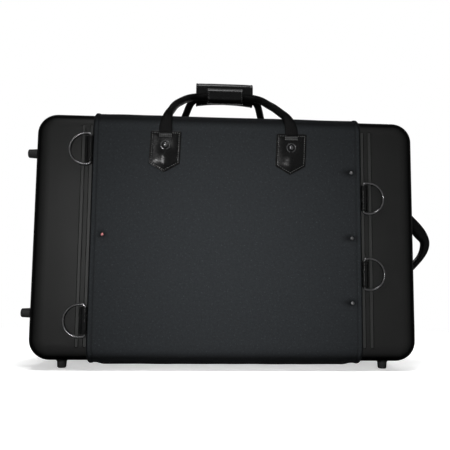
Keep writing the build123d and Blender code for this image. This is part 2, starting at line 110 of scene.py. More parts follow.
def seen_directly(tree, *kinds):
    """One where the ray is of any of these kinds, and nought elsewhere."""
    path = tree.nodes.new("ShaderNodeLightPath")
    total = path.outputs[kinds[0]]
    for kind in kinds[1:]:
        either = tree.nodes.new("ShaderNodeMath")
        either.operation = "MAXIMUM"
        tree.links.new(total, either.inputs[0])
        tree.links.new(path.outputs[kind], either.inputs[1])
        total = either.outputs[0]
    return total


world = bpy.data.worlds.new("white_surround")
world.use_nodes = True
bpy.context.scene.world = world
surround = world.node_tree
strength = surround.nodes.new("ShaderNodeMix")
strength.inputs["A"].default_value = surround_light
strength.inputs["B"].default_value = 1.0
surround.links.new(seen_directly(surround, *seen_rays), strength.inputs["Factor"])
surround.nodes["Background"].inputs["Color"].default_value = (1, 1, 1, 1)
surround.links.new(strength.outputs["Result"], surround.nodes["Background"].inputs["Strength"])

for name, (place, size, watts, spread) in lamps.items():
    lamp = bpy.data.objects.new(name, bpy.data.lights.new(name, "AREA"))
    lamp.data.size = size
    lamp.data.energy = watts
    lamp.data.spread = radians(spread)
    lamp.location = place
    lamp.rotation_euler = (lamp_aim - lamp.location).to_track_quat("-Z", "Y").to_euler()
    bpy.context.scene.collection.objects.link(lamp)

floor_mesh = bpy.data.meshes.new("floor")
corners = [(x * floor_half, y * floor_half, cad_low.z) for x, y in ((-1, -1), (1, -1), (1, 1), (-1, 1))]
floor_mesh.from_pydata(corners, [], [(0, 1, 2, 3)])
floor = bpy.data.objects.new("floor", floor_mesh)
bpy.context.scene.collection.objects.link(floor)
floor_paper = bpy.data.materials.new("floor_paper")
floor_paper.use_nodes = True
paper = floor_paper.node_tree
paper_shader = paper.nodes["Principled BSDF"]
paper_shader.inputs["Base Color"].default_value = paper_white
paper_shader.inputs["Roughness"].default_value = 1.0
paper_shader.inputs["Specular IOR Level"].default_value = 0.0
lift = paper.nodes.new("ShaderNodeMath")
lift.operation = "MULTIPLY"
lift.inputs[1].default_value = floor_lift_for_camera
paper.links.new(seen_directly(paper, "Is Camera Ray"), lift.inputs[0])
paper_shader.inputs["Emission Color"].default_value = (1, 1, 1, 1)
paper.links.new(lift.outputs[0], paper_shader.inputs["Emission Strength"])
from_case = paper.nodes.new("ShaderNodeVectorMath")
from_case.operation = "LENGTH"
paper.links.new(paper.nodes.new("ShaderNodeTexCoord").outputs["Object"], from_case.inputs[0])
fade = paper.nodes.new("ShaderNodeMapRange")
fade.interpolation_type = "SMOOTHSTEP"
fade.inputs["From Min"].default_value = shadow_reach
fade.inputs["From Max"].default_value = paper_reach
paper.links.new(from_case.outputs["Value"], fade.inputs["Value"])
whiten = paper.nodes.new("ShaderNodeMath")
whiten.operation = "MULTIPLY"
paper.links.new(fade.outputs["Result"], whiten.inputs[0])
paper.links.new(seen_directly(paper, *seen_rays), whiten.inputs[1])
white = paper.nodes.new("ShaderNodeEmission")
blend = paper.nodes.new("ShaderNodeMixShader")
paper.links.new(whiten.outputs[0], blend.inputs["Fac"])
paper.links.new(paper_shader.outputs[0], blend.inputs[1])
paper.links.new(white.outputs[0], blend.inputs[2])
paper.links.new(blend.outputs[0], paper.nodes["Material Output"].inputs["Surface"])
floor_mesh.materials.append(floor_paper)
floor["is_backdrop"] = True

# The two half shells are pressed from black plastic sheet with a fine leather-like grain. They
# are matt, and the tops of their beads carry a painted highlight. They carry everything else.
shell_low, shell_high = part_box("base_shell")
shell_black, shell_worn = (0.0086, 0.0088, 0.0086), (0.0118, 0.0121, 0.0118)
# How much lighter the painted highlight on a bead's top is, and how far under the top it starts and is full.
crown_highlight, highlight_start, highlight_full = 2.1, 0.001, 0.0003


def node_group(name, kind, takes, gives):
    """A node group, with its input and output nodes. Its sockets are named with their types."""
    group = bpy.data.node_groups.new(name, kind)
    for way, sockets in (("INPUT", takes), ("OUTPUT", gives)):
        for socket, value in sockets.items():
            group.interface.new_socket(socket, in_out=way, socket_type="NodeSocket" + value)
    return group, group.nodes.new("NodeGroupInput"), group.nodes.new("NodeGroupOutput")


def grain_group():
    """Cloudy variation and fine pits, as a mask from nought to one and a height."""
    share_of_pits = 0.4
    takes = {"Vector": "Vector", "Size": "Float", "Cloud": "Float"}
    gives = {"Mask": "Float", "Height": "Float"}
    group, given, result = node_group("surface_grain", "ShaderNodeTree", takes, gives)

    def noise_of(socket, detail):
        divide = group.nodes.new("ShaderNodeMath")
        divide.operation = "DIVIDE"
        divide.inputs[0].default_value = 1.0
        group.links.new(given.outputs[socket], divide.inputs[1])
        texture = group.nodes.new("ShaderNodeTexNoise")
        texture.inputs["Detail"].default_value = detail
        group.links.new(given.outputs["Vector"], texture.inputs["Vector"])
        group.links.new(divide.outputs[0], texture.inputs["Scale"])
        return texture.outputs["Fac"]

    pits = noise_of("Size", 2.0)
    mix = group.nodes.new("ShaderNodeMix")
    mix.inputs["Factor"].default_value = share_of_pits
    group.links.new(noise_of("Cloud", 3.0), mix.inputs["A"])
    group.links.new(pits, mix.inputs["B"])
    group.links.new(mix.outputs["Result"], result.inputs["Mask"])
    group.links.new(pits, result.inputs["Height"])
    return group


grain = grain_group()


class Finish:
    """A material in the making: its tree, its shader and the coordinates that it reads."""

    # Most of a mask lies between these, so two tones are spread from one to the other.
    mask_low, mask_high = 0.3, 0.7

    def __init__(self, name, coordinates="Object"):
        self.material = bpy.data.materials.new(name)
        self.material.use_nodes = True
        self.tree = self.material.node_tree
        self.shader = self.tree.nodes["Principled BSDF"]
        self.place = self.add("ShaderNodeTexCoord").outputs[coordinates]

    def add(self, kind, **values):
        node = self.tree.nodes.new(kind)
        for key, value in values.items():
            setattr(node, key, value)
        return node

    def join(self, out, into):
        self.tree.links.new(out, into)

    def set(self, **values):
        for key, value in values.items():
            self.shader.inputs[key.replace("_", " ")].default_value = value

    def use(self, group, **values):
        node = self.add("ShaderNodeGroup", node_tree=group)
        self.join(self.place, node.inputs["Vector"])
        for key, value in values.items():
            node.inputs[key].default_value = value
        return node

    def shade(self, mask, dark, light):
        """Colours the surface between two tones by a mask."""
        ramp = self.add("ShaderNodeValToRGB")
        ends = zip(ramp.color_ramp.elements, (self.mask_low, self.mask_high), (dark, light))
        for element, position, tone in ends:
            element.position = position
            element.color = (*tone, 1)
        self.join(mask, ramp.inputs["Fac"])
        self.join(ramp.outputs["Color"], self.shader.inputs["Base Color"])

    def span(self, value, start, end, first, last, smooth=True):
        """A change from one number to another while a value runs from start to end."""
        change = self.add("ShaderNodeMapRange")
        if smooth:
            change.interpolation_type = "SMOOTHSTEP"
        change.inputs["From Min"].default_value = start
        change.inputs["From Max"].default_value = end
        change.inputs["To Min"].default_value = first
        change.inputs["To Max"].default_value = last
        self.join(value, change.inputs["Value"])
        return change.outputs["Result"]

    def gloss(self, mask, low, high):
        """Roughness between two values by a mask."""
        rough = self.span(mask, self.mask_low, self.mask_high, low, high, smooth=False)
        self.join(rough, self.shader.inputs["Roughness"])

    def emboss(self, height, depth):
        """Relief of a real depth, in metres, over any relief that is there already."""
        bump = self.add("ShaderNodeBump")
        bump.inputs["Strength"].default_value = 1.0
        bump.inputs["Distance"].default_value = depth
        self.join(height, bump.inputs["Height"])
        normal = self.shader.inputs["Normal"]
        if normal.is_linked:
            self.join(normal.links[0].from_socket, bump.inputs["Normal"])
        self.join(bump.outputs["Normal"], normal)

    def scale_tone(self, factor):
        """Multiplies the colour by a factor."""
        tone = self.add("ShaderNodeVectorMath", operation="SCALE")
        colour = self.shader.inputs["Base Color"]
        self.join(colour.links[0].from_socket, tone.inputs[0])
        self.join(factor, tone.inputs["Scale"])
        self.join(tone.outputs[0], colour)

    def painted_edge_shade(self, least, start, end):
        """Painted shade: darkens the surface's colour and its shine where it turns away from the eye."""
        away = self.add("ShaderNodeLayerWeight").outputs["Facing"]
        left = self.span(away, start, end, 1.0, least)
        self.scale_tone(left)
        shine = self.shader.inputs["Specular IOR Level"]
        level = self.add("ShaderNodeMath", operation="MULTIPLY")
        level.inputs[1].default_value = shine.default_value
        self.join(left, level.inputs[0])
        self.join(level.outputs[0], shine)


def grained(name, tones, roughness, pit, cloud, relief=0.0, **settings):
    """A finish of two tones and two roughnesses, by pits and clouds of these sizes in metres."""
    made = Finish(name)
    texture = made.use(grain, Size=pit, Cloud=cloud)
    made.shade(texture.outputs["Mask"], *tones)
    made.gloss(texture.outputs["Mask"], *roughness)
    if relief:
        made.emboss(texture.outputs["Height"], relief)
    made.set(**settings)
    return made


def dress(finish, *nodes):
    """Gives nodes of the model their finish."""
    for node in nodes:
        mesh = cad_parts[node].data
        mesh.materials.clear()
        mesh.materials.append(finish.material)


moulded = grained(
    "moulded_plastic", tones=(shell_black, shell_worn), roughness=(0.44, 0.54),
    pit=0.0009, cloud=0.06, relief=0.00012, Specular_IOR_Level=0.068,
)
shell_place = moulded.add("ShaderNodeSeparateXYZ")
moulded.join(moulded.place, shell_place.inputs[0])
from_parting = moulded.add("ShaderNodeMath", operation="ABSOLUTE")
moulded.join(shell_place.outputs["Y"], from_parting.inputs[0])
bead_crown = -shell_low.y
# Painted highlight: the colour is made lighter at the tops of the beads.
moulded.scale_tone(moulded.span(
    from_parting.outputs[0], bead_crown - highlight_start, bead_crown - highlight_full, 1.0, crown_highlight
))
# Painted shade on the shell's edges, where they turn away from the eye.
moulded.painted_edge_shade(least=0.04, start=0.05, end=0.5)
dress(moulded, "base_shell", "lid_shell")

# Rough black rubber bumpers stand the case on its bottom or its end. Each is pressed on with a
# pan head screw at the bottom of its bore.
rubber = grained(
    "foot_rubber", tones=((0.012, 0.012, 0.012), (0.03, 0.03, 0.03)), roughness=(0.5, 0.7),
    pit=0.0012, cloud=0.01, relief=0.0001, Specular_IOR_Level=0.15,
)
# Painted shade on the feet's edges.
rubber.painted_edge_shade(least=0.3, start=0.05, end=0.55)
dress(rubber, "base_feet", "lid_feet")

screw_steel = grained(
    "screw_steel", tones=((0.32, 0.32, 0.33), (0.5, 0.5, 0.51)), roughness=(0.25, 0.4),
    pit=0.0004, cloud=0.002, Metallic=1.0,
)
dress(screw_steel, "base_foot_screws", "lid_foot_screws")

# Charcoal woven polyester is glued round the middle of each half, over thin padding. Its sides
# are turned under and stitched as hems, its ends stop beside the zip, and rivets pull it in.
halves = (("base", -1), ("lid", 1))
case_bottom, case_top = shell_low.z, shell_high.z
edge_round = 0.026
cover_low, cover_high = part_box("base_cover")
cover_half = cover_high.x
zip_margin = -cover_high.y
cloth, cover_wall, edge_tuck = 0.002, 0.0012, 0.0007
hem_width, hem_step, hem_fold = 0.007, 0.0008, 0.0012
half_depth = -cover_low.y - cloth - hem_step
# How deep a hem's stitches sink and how far it swells beside them, each with its half width.
stitch_sink, stitch_sink_width = 0.0006, 0.0011
hem_swell, hem_swell_width = 0.00025, 0.0018
# The fabric's slack, as waves in a metre of X and of the fabric's run, a seed and a height. It
# is full this far in from the hems and from the ends.
slack_waves = [(9, 7, 3.1, 0.0007), (31, 22, 5.7, 0.00035)]
slack_from_side, slack_from_end = 0.02, 0.03
# Under the case the fabric hangs down, between the zip's side and the rounded edge.
belly_sag, belly_start = 0.006, 0.034
# Each rivet draws the fabric down in folds, with a low rim round them. Towards the case's
# middle, the dents of the right-hand rivets are longer.
copper_low, copper_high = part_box("cover_rivet_left")
silver_low, silver_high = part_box("cover_rivets_right")
rivet_radius = (copper_high.x - copper_low.x) / 2
middle_rivet_z = 0.2042
rivet_places = [((copper_low.x + copper_high.x) / 2, (copper_low.z + copper_high.z) / 2)]
rivet_places += [
    ((silver_low.x + silver_high.x) / 2, z)
    for z in (silver_low.z + rivet_radius, middle_rivet_z, silver_high.z - rivet_radius)
]
pucker_depth, pucker_radius, dent_stretch = 0.0011, 0.0085, 2.6
folds_round, fold_share, fold_turn = 5, 0.35, 90
rim_height, rim_radius, rim_width = 0.0005, 0.0095, 0.003
# How dark the painted shade is in the creases at the hems and at the rivets, and how wide.
hem_crease_shade, hem_shade_width = 0.45, 0.0014
rivet_crease_shade, rivet_shade_radius, rivet_shade_stretch = 0.85, 0.0062, 1.2


def weave_group():
    """Plain weave on coordinates in metres, as a height: each cell shows the thread on top."""
    takes, gives = {"Vector": "Vector", "Pitch": "Float"}, {"Height": "Float"}
    group, given, result = node_group("plain_weave", "ShaderNodeTree", takes, gives)

    def math(operation, *values):
        node = group.nodes.new("ShaderNodeMath")
        node.operation = operation
        for place, value in enumerate(values):
            if isinstance(value, float):
                node.inputs[place].default_value = value
            else:
                group.links.new(value, node.inputs[place])
        return node.outputs[0]

    split = group.nodes.new("ShaderNodeSeparateXYZ")
    group.links.new(given.outputs["Vector"], split.inputs[0])
    across = math("DIVIDE", split.outputs["X"], given.outputs["Pitch"])
    along = math("DIVIDE", split.outputs["Y"], given.outputs["Pitch"])
    cells = math("ADD", math("FLOOR", across), math("FLOOR", along))
    warp = math("ABSOLUTE", math("MODULO", cells, 2.0))
    ridges = [math("ABSOLUTE", math("SINE", math("MULTIPLY", way, pi))) for way in (across, along)]
    mix = group.nodes.new("ShaderNodeMix")
    group.links.new(warp, mix.inputs["Factor"])
    group.links.new(ridges[0], mix.inputs["A"])
    group.links.new(ridges[1], mix.inputs["B"])
    group.links.new(mix.outputs["Result"], result.inputs["Height"])
    return group


weave = weave_group()


def woven_finish(
    name, tones, pitch, relief, cloud=0.004, roughness=(0.75, 0.95), flecks=0.0, shine=0.05
):
    """Matt cloth on the piece's own UV map, in metres, with slubs, flecks and a little sheen.

    Where the mesh has a crease attribute, the cloth's colour is darkened there as painted shade.
    """
    thread_share, fleck_start, fleck_full, crease_shade_tone = 0.25, 0.57, 0.66, 0.25
    slub_threads, slub_relief, fleck_threads, cloud_threads = 2.2, 1.5, 1.8, 3
    made = Finish(name, "UV")
    threads = made.use(weave, Pitch=pitch)
    slubs = made.use(grain, Size=pitch * slub_threads, Cloud=cloud)
    blended = made.add("ShaderNodeMix")
    blended.inputs["Factor"].default_value = thread_share
    made.join(slubs.outputs["Mask"], blended.inputs["A"])
    made.join(threads.outputs["Height"], blended.inputs["B"])
    made.shade(blended.outputs["Result"], *tones)
    made.gloss(slubs.outputs["Mask"], *roughness)
    made.emboss(threads.outputs["Height"], relief)
    made.emboss(slubs.outputs["Height"], relief * slub_relief)
    made.set(Specular_IOR_Level=shine, Sheen_Weight=shine / 8, Sheen_Roughness=0.5)
    fleck = made.use(grain, Size=pitch * fleck_threads, Cloud=pitch * cloud_threads)
    made.scale_tone(made.span(fleck.outputs["Mask"], fleck_start, fleck_full, 1.0, 1.0 + flecks))
    # Painted shade in the creases: the colour darkens where the crease attribute is high.
    crease_shade = made.add("ShaderNodeAttribute", attribute_name="crease_shade")
    made.scale_tone(made.span(crease_shade.outputs["Fac"], 0.0, 1.0, 1.0, crease_shade_tone))
    # Painted shade on the cloth's edges.
    made.painted_edge_shade(least=0.25, start=0.03, end=0.4)
    return made.material


def face_outwards(mesh):
    """Turns the faces of a closed mesh outwards."""
    work = bmesh.new()
    work.from_mesh(mesh)
    bmesh.ops.remove_doubles(work, verts=work.verts, dist=1e-6)
    bmesh.ops.recalc_face_normals(work, faces=work.faces)
    work.to_mesh(mesh)
    work.free()


def grid_piece(name, points, uvs, material, ring=False, capped=False):
    """A smooth mesh through rows of points. ring joins the last column to the first."""
    rows, columns = len(points), len(points[0])
    faces, corners = [], []
    for i in range(rows - 1):
        for j in range(columns if ring else columns - 1):
            k = (j + 1) % columns
            faces.append((i * columns + j, i * columns + k, (i + 1) * columns + k, (i + 1) * columns + j))
            corners += [uvs[i][j], uvs[i][j + 1], uvs[i + 1][j + 1], uvs[i + 1][j]]
    if capped:
        for i in (0, rows - 1):
            faces.append([i * columns + j for j in range(columns)])
            corners += [uvs[i][j] for j in range(columns)]
    mesh = bpy.data.meshes.new(name)
    mesh.from_pydata([p for row in points for p in row], [], faces)
    layer = mesh.uv_layers.new(name="surface")
    for corner, uv in zip(layer.data, corners):
        corner.uv = uv
    mesh.materials.append(material)
    mesh.shade_smooth()
    piece = bpy.data.objects.new(name, mesh)
    bpy.context.scene.collection.objects.link(piece)
    if capped:
        face_outwards(mesh)
    return piece


def made_plain(piece):
    """Applies a piece's modifiers, so that only its mesh is left."""
    seen_piece = piece.evaluated_get(bpy.context.evaluated_depsgraph_get())
    mesh = bpy.data.meshes.new_from_object(seen_piece)
    mesh.name = piece.name
    piece.modifiers.clear()
    piece.data = mesh
    return piece


def thicken(piece, thickness):
    """Gives an open skin a wall on its inner side, and closes its edges."""
    wall = piece.modifiers.new("wall", "SOLIDIFY")
    wall.thickness = thickness
    wall.offset = -1.0
    made_plain(piece)
    face_outwards(piece.data)
    piece.data.shade_smooth()
    return piece


def finish_piece(piece, body, slot, *nodes):
    """Puts a piece on its body and hides what it stands for. Its slot is not used."""
    if nodes:
        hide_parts(*nodes)
    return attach(piece, body)


flat_run = half_depth - edge_round - zip_margin
corner_run = edge_round * pi / 2
face_run = case_top - case_bottom - 2 * edge_round
cover_run = 2 * (flat_run + corner_run) + face_run


def round_the_half(s):
    """Where the shell is, as y and z, and which way it faces, at s along the fabric."""
    further = s
    if further < flat_run:
        return -zip_margin - further, case_top, 0.0, 1.0
    further -= flat_run
    if further < corner_run:
        a = further / edge_round
        out_y, out_z = -sin(a), cos(a)
        y = -half_depth + edge_round + edge_round * out_y
        return y, case_top - edge_round + edge_round * out_z, out_y, out_z
    further -= corner_run
    if further < face_run:
        return -half_depth, case_top - edge_round - further, -1.0, 0.0
    y, z, out_y, out_z = round_the_half(cover_run - s)
    return y, case_bottom + case_top - z, out_y, -out_z


def soft_step(t):
    """Nought up to nought, one from one on, and smooth between them."""
    t = min(max(t, 0.0), 1.0)
    return t * t * (3 - 2 * t)


def hump(distance, width):
    """One at no distance, falling off smoothly to both sides."""
    return exp(-((distance / width) ** 2))


def from_rivet(x, z, rivet, stretch):
    """How far a point is from a rivet, shortened on the side where its dent is longer."""
    if rivet[0] > 0 and x < rivet[0]:
        stretch = dent_stretch
    return hypot((x - rivet[0]) / stretch, z - rivet[1])


def cover_height(x, s, side):
    """How far the fabric stands off the shell: rounded edges, hem, slack, belly and puckers."""
    to_side, to_end = cover_half - abs(x), min(s, cover_run - s)
    height = cloth
    height += hem_step * soft_step((hem_width - to_side) / hem_fold + 0.5)
    height -= stitch_sink * hump(to_side - hem_width, stitch_sink_width)
    height += hem_swell * hump(to_side - hem_width / 2, hem_swell_width)
    inner = soft_step((to_side - hem_width) / slack_from_side) * soft_step(to_end / slack_from_end)
    for per_x, per_s, seed, wave_height in slack_waves:
        height += inner * noise.noise(Vector((x * per_x, s * per_s, side * seed))) * wave_height
    y, z, out_y, out_z = round_the_half(s)
    if out_z < -0.99 and -half_depth + edge_round < y < -belly_start:
        share = (-belly_start - y) / (half_depth - edge_round - belly_start)
        height += belly_sag * sin(pi * share) * soft_step(to_side / slack_from_side)
    if side < 0 and out_y < -0.99:
        for rivet in rivet_places:
            round_rivet = atan2(z - rivet[1], x - rivet[0])
            folds = 1 + fold_share * cos(folds_round * round_rivet + rivet[1] * fold_turn)
            height -= pucker_depth * hump(from_rivet(x, z, rivet, 1.0), pucker_radius) * folds
            height += rim_height * hump(hypot(x - rivet[0], z - rivet[1]) - rim_radius, rim_width)
    rounding = min(min(to_side, to_end) / cloth, 1.0)
    return height * (1 - (1 - rounding) ** 2) ** 0.5 - edge_tuck * (1 - rounding)


def cover_crease_shade(x, s, side):
    """How much painted shade the fabric gets in a crease: one at a rivet, less along the hem's stitches."""
    depth = hem_crease_shade * hump(cover_half - abs(x) - hem_width, hem_shade_width)
    y, z, out_y, out_z = round_the_half(s)
    if side < 0 and out_y < -0.99:
        for rivet in rivet_places:
            away = from_rivet(x, z, rivet, rivet_shade_stretch)
            depth += rivet_crease_shade * hump(away, rivet_shade_radius)
    return min(depth, 1.0)


def spaced(stops):
    """Places from stops, each a place and the step that leads to the next."""
    places = []
    for (start, step), (end, _) in zip(stops, stops[1:]):
        count = max(1, round((end - start) / step))
        places += [start + (end - start) * i / count for i in range(count)]
    return places + [stops[-1][0]]


inner_half = cover_half - 0.03
cover_columns = spaced([
    (-cover_half, 0.0004), (-cover_half + 0.002, 0.0011), (-cover_half + 0.01, 0.002),
    (-inner_half, 0.0045), (inner_half, 0.002), (cover_half - 0.01, 0.0011),
    (cover_half - 0.002, 0.0004), (cover_half, 0.001),
])
cover_rows = spaced([
    (0.0, 0.0005), (0.002, 0.004), (flat_run, 0.0034), (flat_run + corner_run, 0.0032),
    (flat_run + corner_run + face_run, 0.0034), (cover_run - flat_run, 0.003),
    (cover_run - 0.002, 0.0005), (cover_run, 0.001),
])
charcoal_cloth = woven_finish(
    "charcoal_cloth", ((0.0092, 0.0104, 0.0114), (0.0182, 0.0203, 0.022)),
    pitch=0.0009, relief=0.0001, flecks=0.9,
)


def on_cover(x, s, side, proud=0.0):
    """A point on the fabric of a half, or a little proud of it."""
    y, z, out_y, out_z = round_the_half(s)
    h = cover_height(x, s, side) + proud
    return (x, -side * (y + out_y * h), z + out_z * h)


def cover_piece(name, side):
    points = [[on_cover(x, s, side) for x in cover_columns] for s in cover_rows]
    uvs = [[(x, s) for x in cover_columns] for s in cover_rows]
    piece = grid_piece(name, points, uvs, charcoal_cloth)
    # The painted shade of the creases, carried on the mesh for the cloth's material.
    crease_shade = piece.data.attributes.new("crease_shade", "FLOAT", "POINT")
    crease_shade.data.foreach_set("value", [cover_crease_shade(x, s, side) for s in cover_rows for x in cover_columns])
    return thicken(piece, -side * cover_wall)


for half, side in halves:
    finish_piece(cover_piece(half + "_fabric", side), half, "woven_cover", half + "_cover")

# Each hem is held by a row of black thread, a stitch about every 3 mm, from the zip round the
# face and on to the zip again. The thread lies a little proud of the fabric.
stitch_pitch, stitch_length, thread_width, thread_proud = 0.0032, 0.0024, 0.00055, 0.0003


def rows_of_items():
    """A node tree that lays beads, such as stitches or teeth, along the edges of its own mesh."""
    gives = {"Geometry": "Geometry"}
    takes = {**gives, "Pitch": "Float", "Length": "Float", "Width": "Float", "Height": "Float"}
    takes |= {"Across": "Vector", "Finish": "Material"}
    tree, given, result = node_group("rows_of_items", "GeometryNodeTree", takes, gives)
    rows = tree.nodes.new("GeometryNodeMeshToCurve")
    spread = tree.nodes.new("GeometryNodeResampleCurve")
    spread.mode = "LENGTH"
    tangent = tree.nodes.new("GeometryNodeInputTangent")
    keep = tree.nodes.new("GeometryNodeCaptureAttribute")
    keep.capture_items.new("VECTOR", "Tangent")
    points = tree.nodes.new("GeometryNodeCurveToPoints")
    points.mode = "EVALUATED"
    bead = tree.nodes.new("GeometryNodeMeshUVSphere")
    bead.inputs["Segments"].default_value = 6
    bead.inputs["Rings"].default_value = 5
    bead.inputs["Radius"].default_value = 0.5
    size = tree.nodes.new("ShaderNodeCombineXYZ")
    align = tree.nodes.new("FunctionNodeAlignRotationToVector")
    align.axis = "Z"
    roll = tree.nodes.new("FunctionNodeAlignRotationToVector")
    roll.axis = "Y"
    roll.pivot_axis = "Z"
    place = tree.nodes.new("GeometryNodeInstanceOnPoints")
    real = tree.nodes.new("GeometryNodeRealizeInstances")
    paint = tree.nodes.new("GeometryNodeSetMaterial")
    smooth = tree.nodes.new("GeometryNodeSetShadeSmooth")
    for source, out, node, into in (
        (given, "Geometry", rows, "Mesh"),
        (rows, "Curve", spread, "Curve"),
        (given, "Pitch", spread, "Length"),
        (spread, "Curve", keep, "Geometry"),
        (tangent, "Tangent", keep, "Tangent"),
        (keep, "Geometry", points, "Curve"),
        (keep, "Tangent", align, "Vector"),
        (points, "Points", place, "Points"),
        (bead, "Mesh", place, "Instance"),
        (align, "Rotation", roll, "Rotation"),
        (given, "Across", roll, "Vector"),
        (roll, "Rotation", place, "Rotation"),
        (given, "Height", size, "X"),
        (given, "Width", size, "Y"),
        (given, "Length", size, "Z"),
        (size, "Vector", place, "Scale"),
        (place, "Instances", real, "Geometry"),
        (real, "Geometry", smooth, "Geometry"),
        (smooth, "Geometry", paint, "Geometry"),
        (given, "Finish", paint, "Material"),
        (paint, "Geometry", result, "Geometry"),
    ):
        tree.links.new(source.outputs[out], node.inputs[into])
    return tree


def set_inputs(modifier, **values):
    """Sets a node tree's inputs by their names."""
    for item in modifier.node_group.interface.items_tree:
        if item.in_out == "INPUT" and item.name in values:
            modifier[item.identifier] = values[item.name]


item_rows = rows_of_items()


def beaded(name, lines, finish, pitch, size):
    """Beads of a size, as length, width and height, along lines of points, as one plain mesh."""
    points, edges = [], []
    for line in lines:
        start = len(points)
        points += line
        edges += [(start + i, start + i + 1) for i in range(len(line) - 1)]
    mesh = bpy.data.meshes.new(name)
    mesh.from_pydata(points, edges, [])
    mesh.materials.append(finish)
    piece = bpy.data.objects.new(name, mesh)
    bpy.context.scene.collection.objects.link(piece)
    rows = piece.modifiers.new("rows", "NODES")
    rows.node_group = item_rows
    length, width, height = size
    set_inputs(rows, Pitch=pitch, Length=length, Width=width, Height=height, Finish=finish)
    set_inputs(rows, Across=(0, 1, 0))
    return made_plain(piece)


def stitched(name, lines, thread, pitch=stitch_pitch, length=stitch_length, width=thread_width):
    """A row of stitches along each line."""
    return beaded(name, lines, thread, pitch, (length, width, width))


def thread_finish(name, dark, light):
    return grained(name, (dark, light), roughness=(0.5, 0.7), pit=0.0004, cloud=0.002).material


black_thread = thread_finish("black_thread", (0.02, 0.021, 0.022), (0.04, 0.041, 0.043))
for half, side in halves:
    hem_lines = [
        [on_cover(end * (cover_half - hem_width), s, side, thread_proud) for s in cover_rows[3:-3]]
        for end in (-1, 1)
    ]
    finish_piece(stitched(half + "_hem_stitches", hem_lines, black_thread), half, "woven_cover")

# A coil zip closes the case. Its twill tapes are glued into the recess in the shells, and its
# teeth, moulded from black nylon, lock along the parting line, except where the hinge is.
case_half_length = shell_high.x
case_corners = [
    (case_half_length, case_bottom), (case_half_length, case_top),
    (-case_half_length, case_top), (-case_half_length, case_bottom),
]
case_radii = [0.032] * 4
zip_end = 0.216
tooth_pitch, tooth_size = 0.0022, (0.0016, 0.0029, 0.0017)
tooth_middle, tooth_depth = 0.0013, 0.0005
least_radius = 0.0002


def rounded_outline(corners, radii, inset=0.0, arc_steps=6, side_steps=6):
    """A convex outline drawn in by inset, with rounded corners, as pairs."""
    middle = sum((Vector(corner) for corner in corners), Vector((0, 0))) / len(corners)
    sides = []
    for i, corner in enumerate(corners):
        start = Vector(corner)
        along = (Vector(corners[(i + 1) % len(corners)]) - start).normalized()
        inward = Vector((-along.y, along.x))
        if inward.dot(middle - start) < 0:
            inward = -inward
        sides.append((start + inward * inset, along, inward))
    arcs = []
    for i, radius in enumerate(radii):
        start, way, inward = sides[i - 1]
        next_start, next_way, _ = sides[i]
        cross = way.x * next_way.y - way.y * next_way.x
        gap = next_start - start
        corner = start + way * ((gap.x * next_way.y - gap.y * next_way.x) / cross)
        bend = atan2(cross, way.dot(next_way))
        radius = max(radius - inset, least_radius)
        centre = corner - way * (radius * tan(abs(bend) / 2)) + inward * radius
        turns = [Matrix.Rotation(bend * k / arc_steps, 2) for k in range(arc_steps + 1)]
        arcs.append([centre - turn @ inward * radius for turn in turns])
    points = []
    for i, arc in enumerate(arcs):
        following = arcs[(i + 1) % len(arcs)][0]
        points += arc
        points += [arc[-1].lerp(following, k / side_steps) for k in range(1, side_steps)]
    return [tuple(point) for point in points]


def zip_line(phase):
    """The teeth's line, from one end of the hinge round the case to the other end."""
    ring = rounded_outline(case_corners, case_radii, tooth_depth, 14, 1)
    z = case_bottom + tooth_depth
    return [(zip_end - phase, z), *ring, (phase - zip_end, z)]


nylon = grained(
    "coil_nylon", tones=((0.008, 0.008, 0.0085), (0.018, 0.018, 0.019)), roughness=(0.3, 0.45),
    pit=0.0006, cloud=0.004,
).material
# The twill's pattern runs on along X plus Z, so it turns the case's corners.
twill = Finish("zip_twill")
round_case = twill.add("ShaderNodeSeparateXYZ")
twill.join(twill.place, round_case.inputs[0])
along_case = twill.add("ShaderNodeMath", operation="ADD")
twill.join(round_case.outputs["X"], along_case.inputs[0])
twill.join(round_case.outputs["Z"], along_case.inputs[1])
flat_case = twill.add("ShaderNodeCombineXYZ")
twill.join(along_case.outputs[0], flat_case.inputs["X"])
twill.join(round_case.outputs["Y"], flat_case.inputs["Y"])
twill.place = flat_case.outputs[0]
twill_threads = twill.use(weave, Pitch=0.0007)
twill_wear = twill.use(grain, Size=0.0015, Cloud=0.02)
twill.shade(twill_wear.outputs["Mask"], (0.010, 0.0103, 0.011), (0.021, 0.0215, 0.0225))
twill.gloss(twill_wear.outputs["Mask"], 0.75, 0.92)
twill.emboss(twill_threads.outputs["Height"], 0.0001)
twill.set(Specular_IOR_Level=0.12)
dress(twill, "base_zip_tape", "lid_zip_tape")
for half, side in halves:
    phase = 0.0 if side < 0 else tooth_pitch / 2
    line = [(x, side * tooth_middle, z) for x, z in zip_line(phase)]
    teeth = beaded(half + "_zip_teeth", [line], nylon, tooth_pitch, tooth_size)
    finish_piece(teeth, half, "zip_coil", half + "_zip_coil")

# One strip of twill is the hinge. It is sewn under both halves' fabric along the bottom edge,
# with two rows of stitches on each half, and bends along the parting plane.
leaf_low, leaf_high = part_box("base_hinge_leaf")
hinge_half_width = -leaf_low.y
hinge_inset = 0.0002
hinge_wall = leaf_high.z - leaf_low.z - hinge_inset
hinge_bend, hinge_tuck, hinge_tuck_width = 0.005, 0.0003, 0.0022
hinge_slack = 0.00025
hinge_seams, seam_sink = (0.011, hinge_half_width - 0.003), 0.0001
hinge_rows = spaced([
    (-hinge_half_width, 0.0005), (-hinge_half_width + 0.001, 0.003), (-hinge_bend, 0.0005),
    (hinge_bend, 0.003), (hinge_half_width - 0.001, 0.0005), (hinge_half_width, 0.001),
])
hinge_columns = spaced([(leaf_low.x, 0.006), (leaf_high.x, 0.006)])


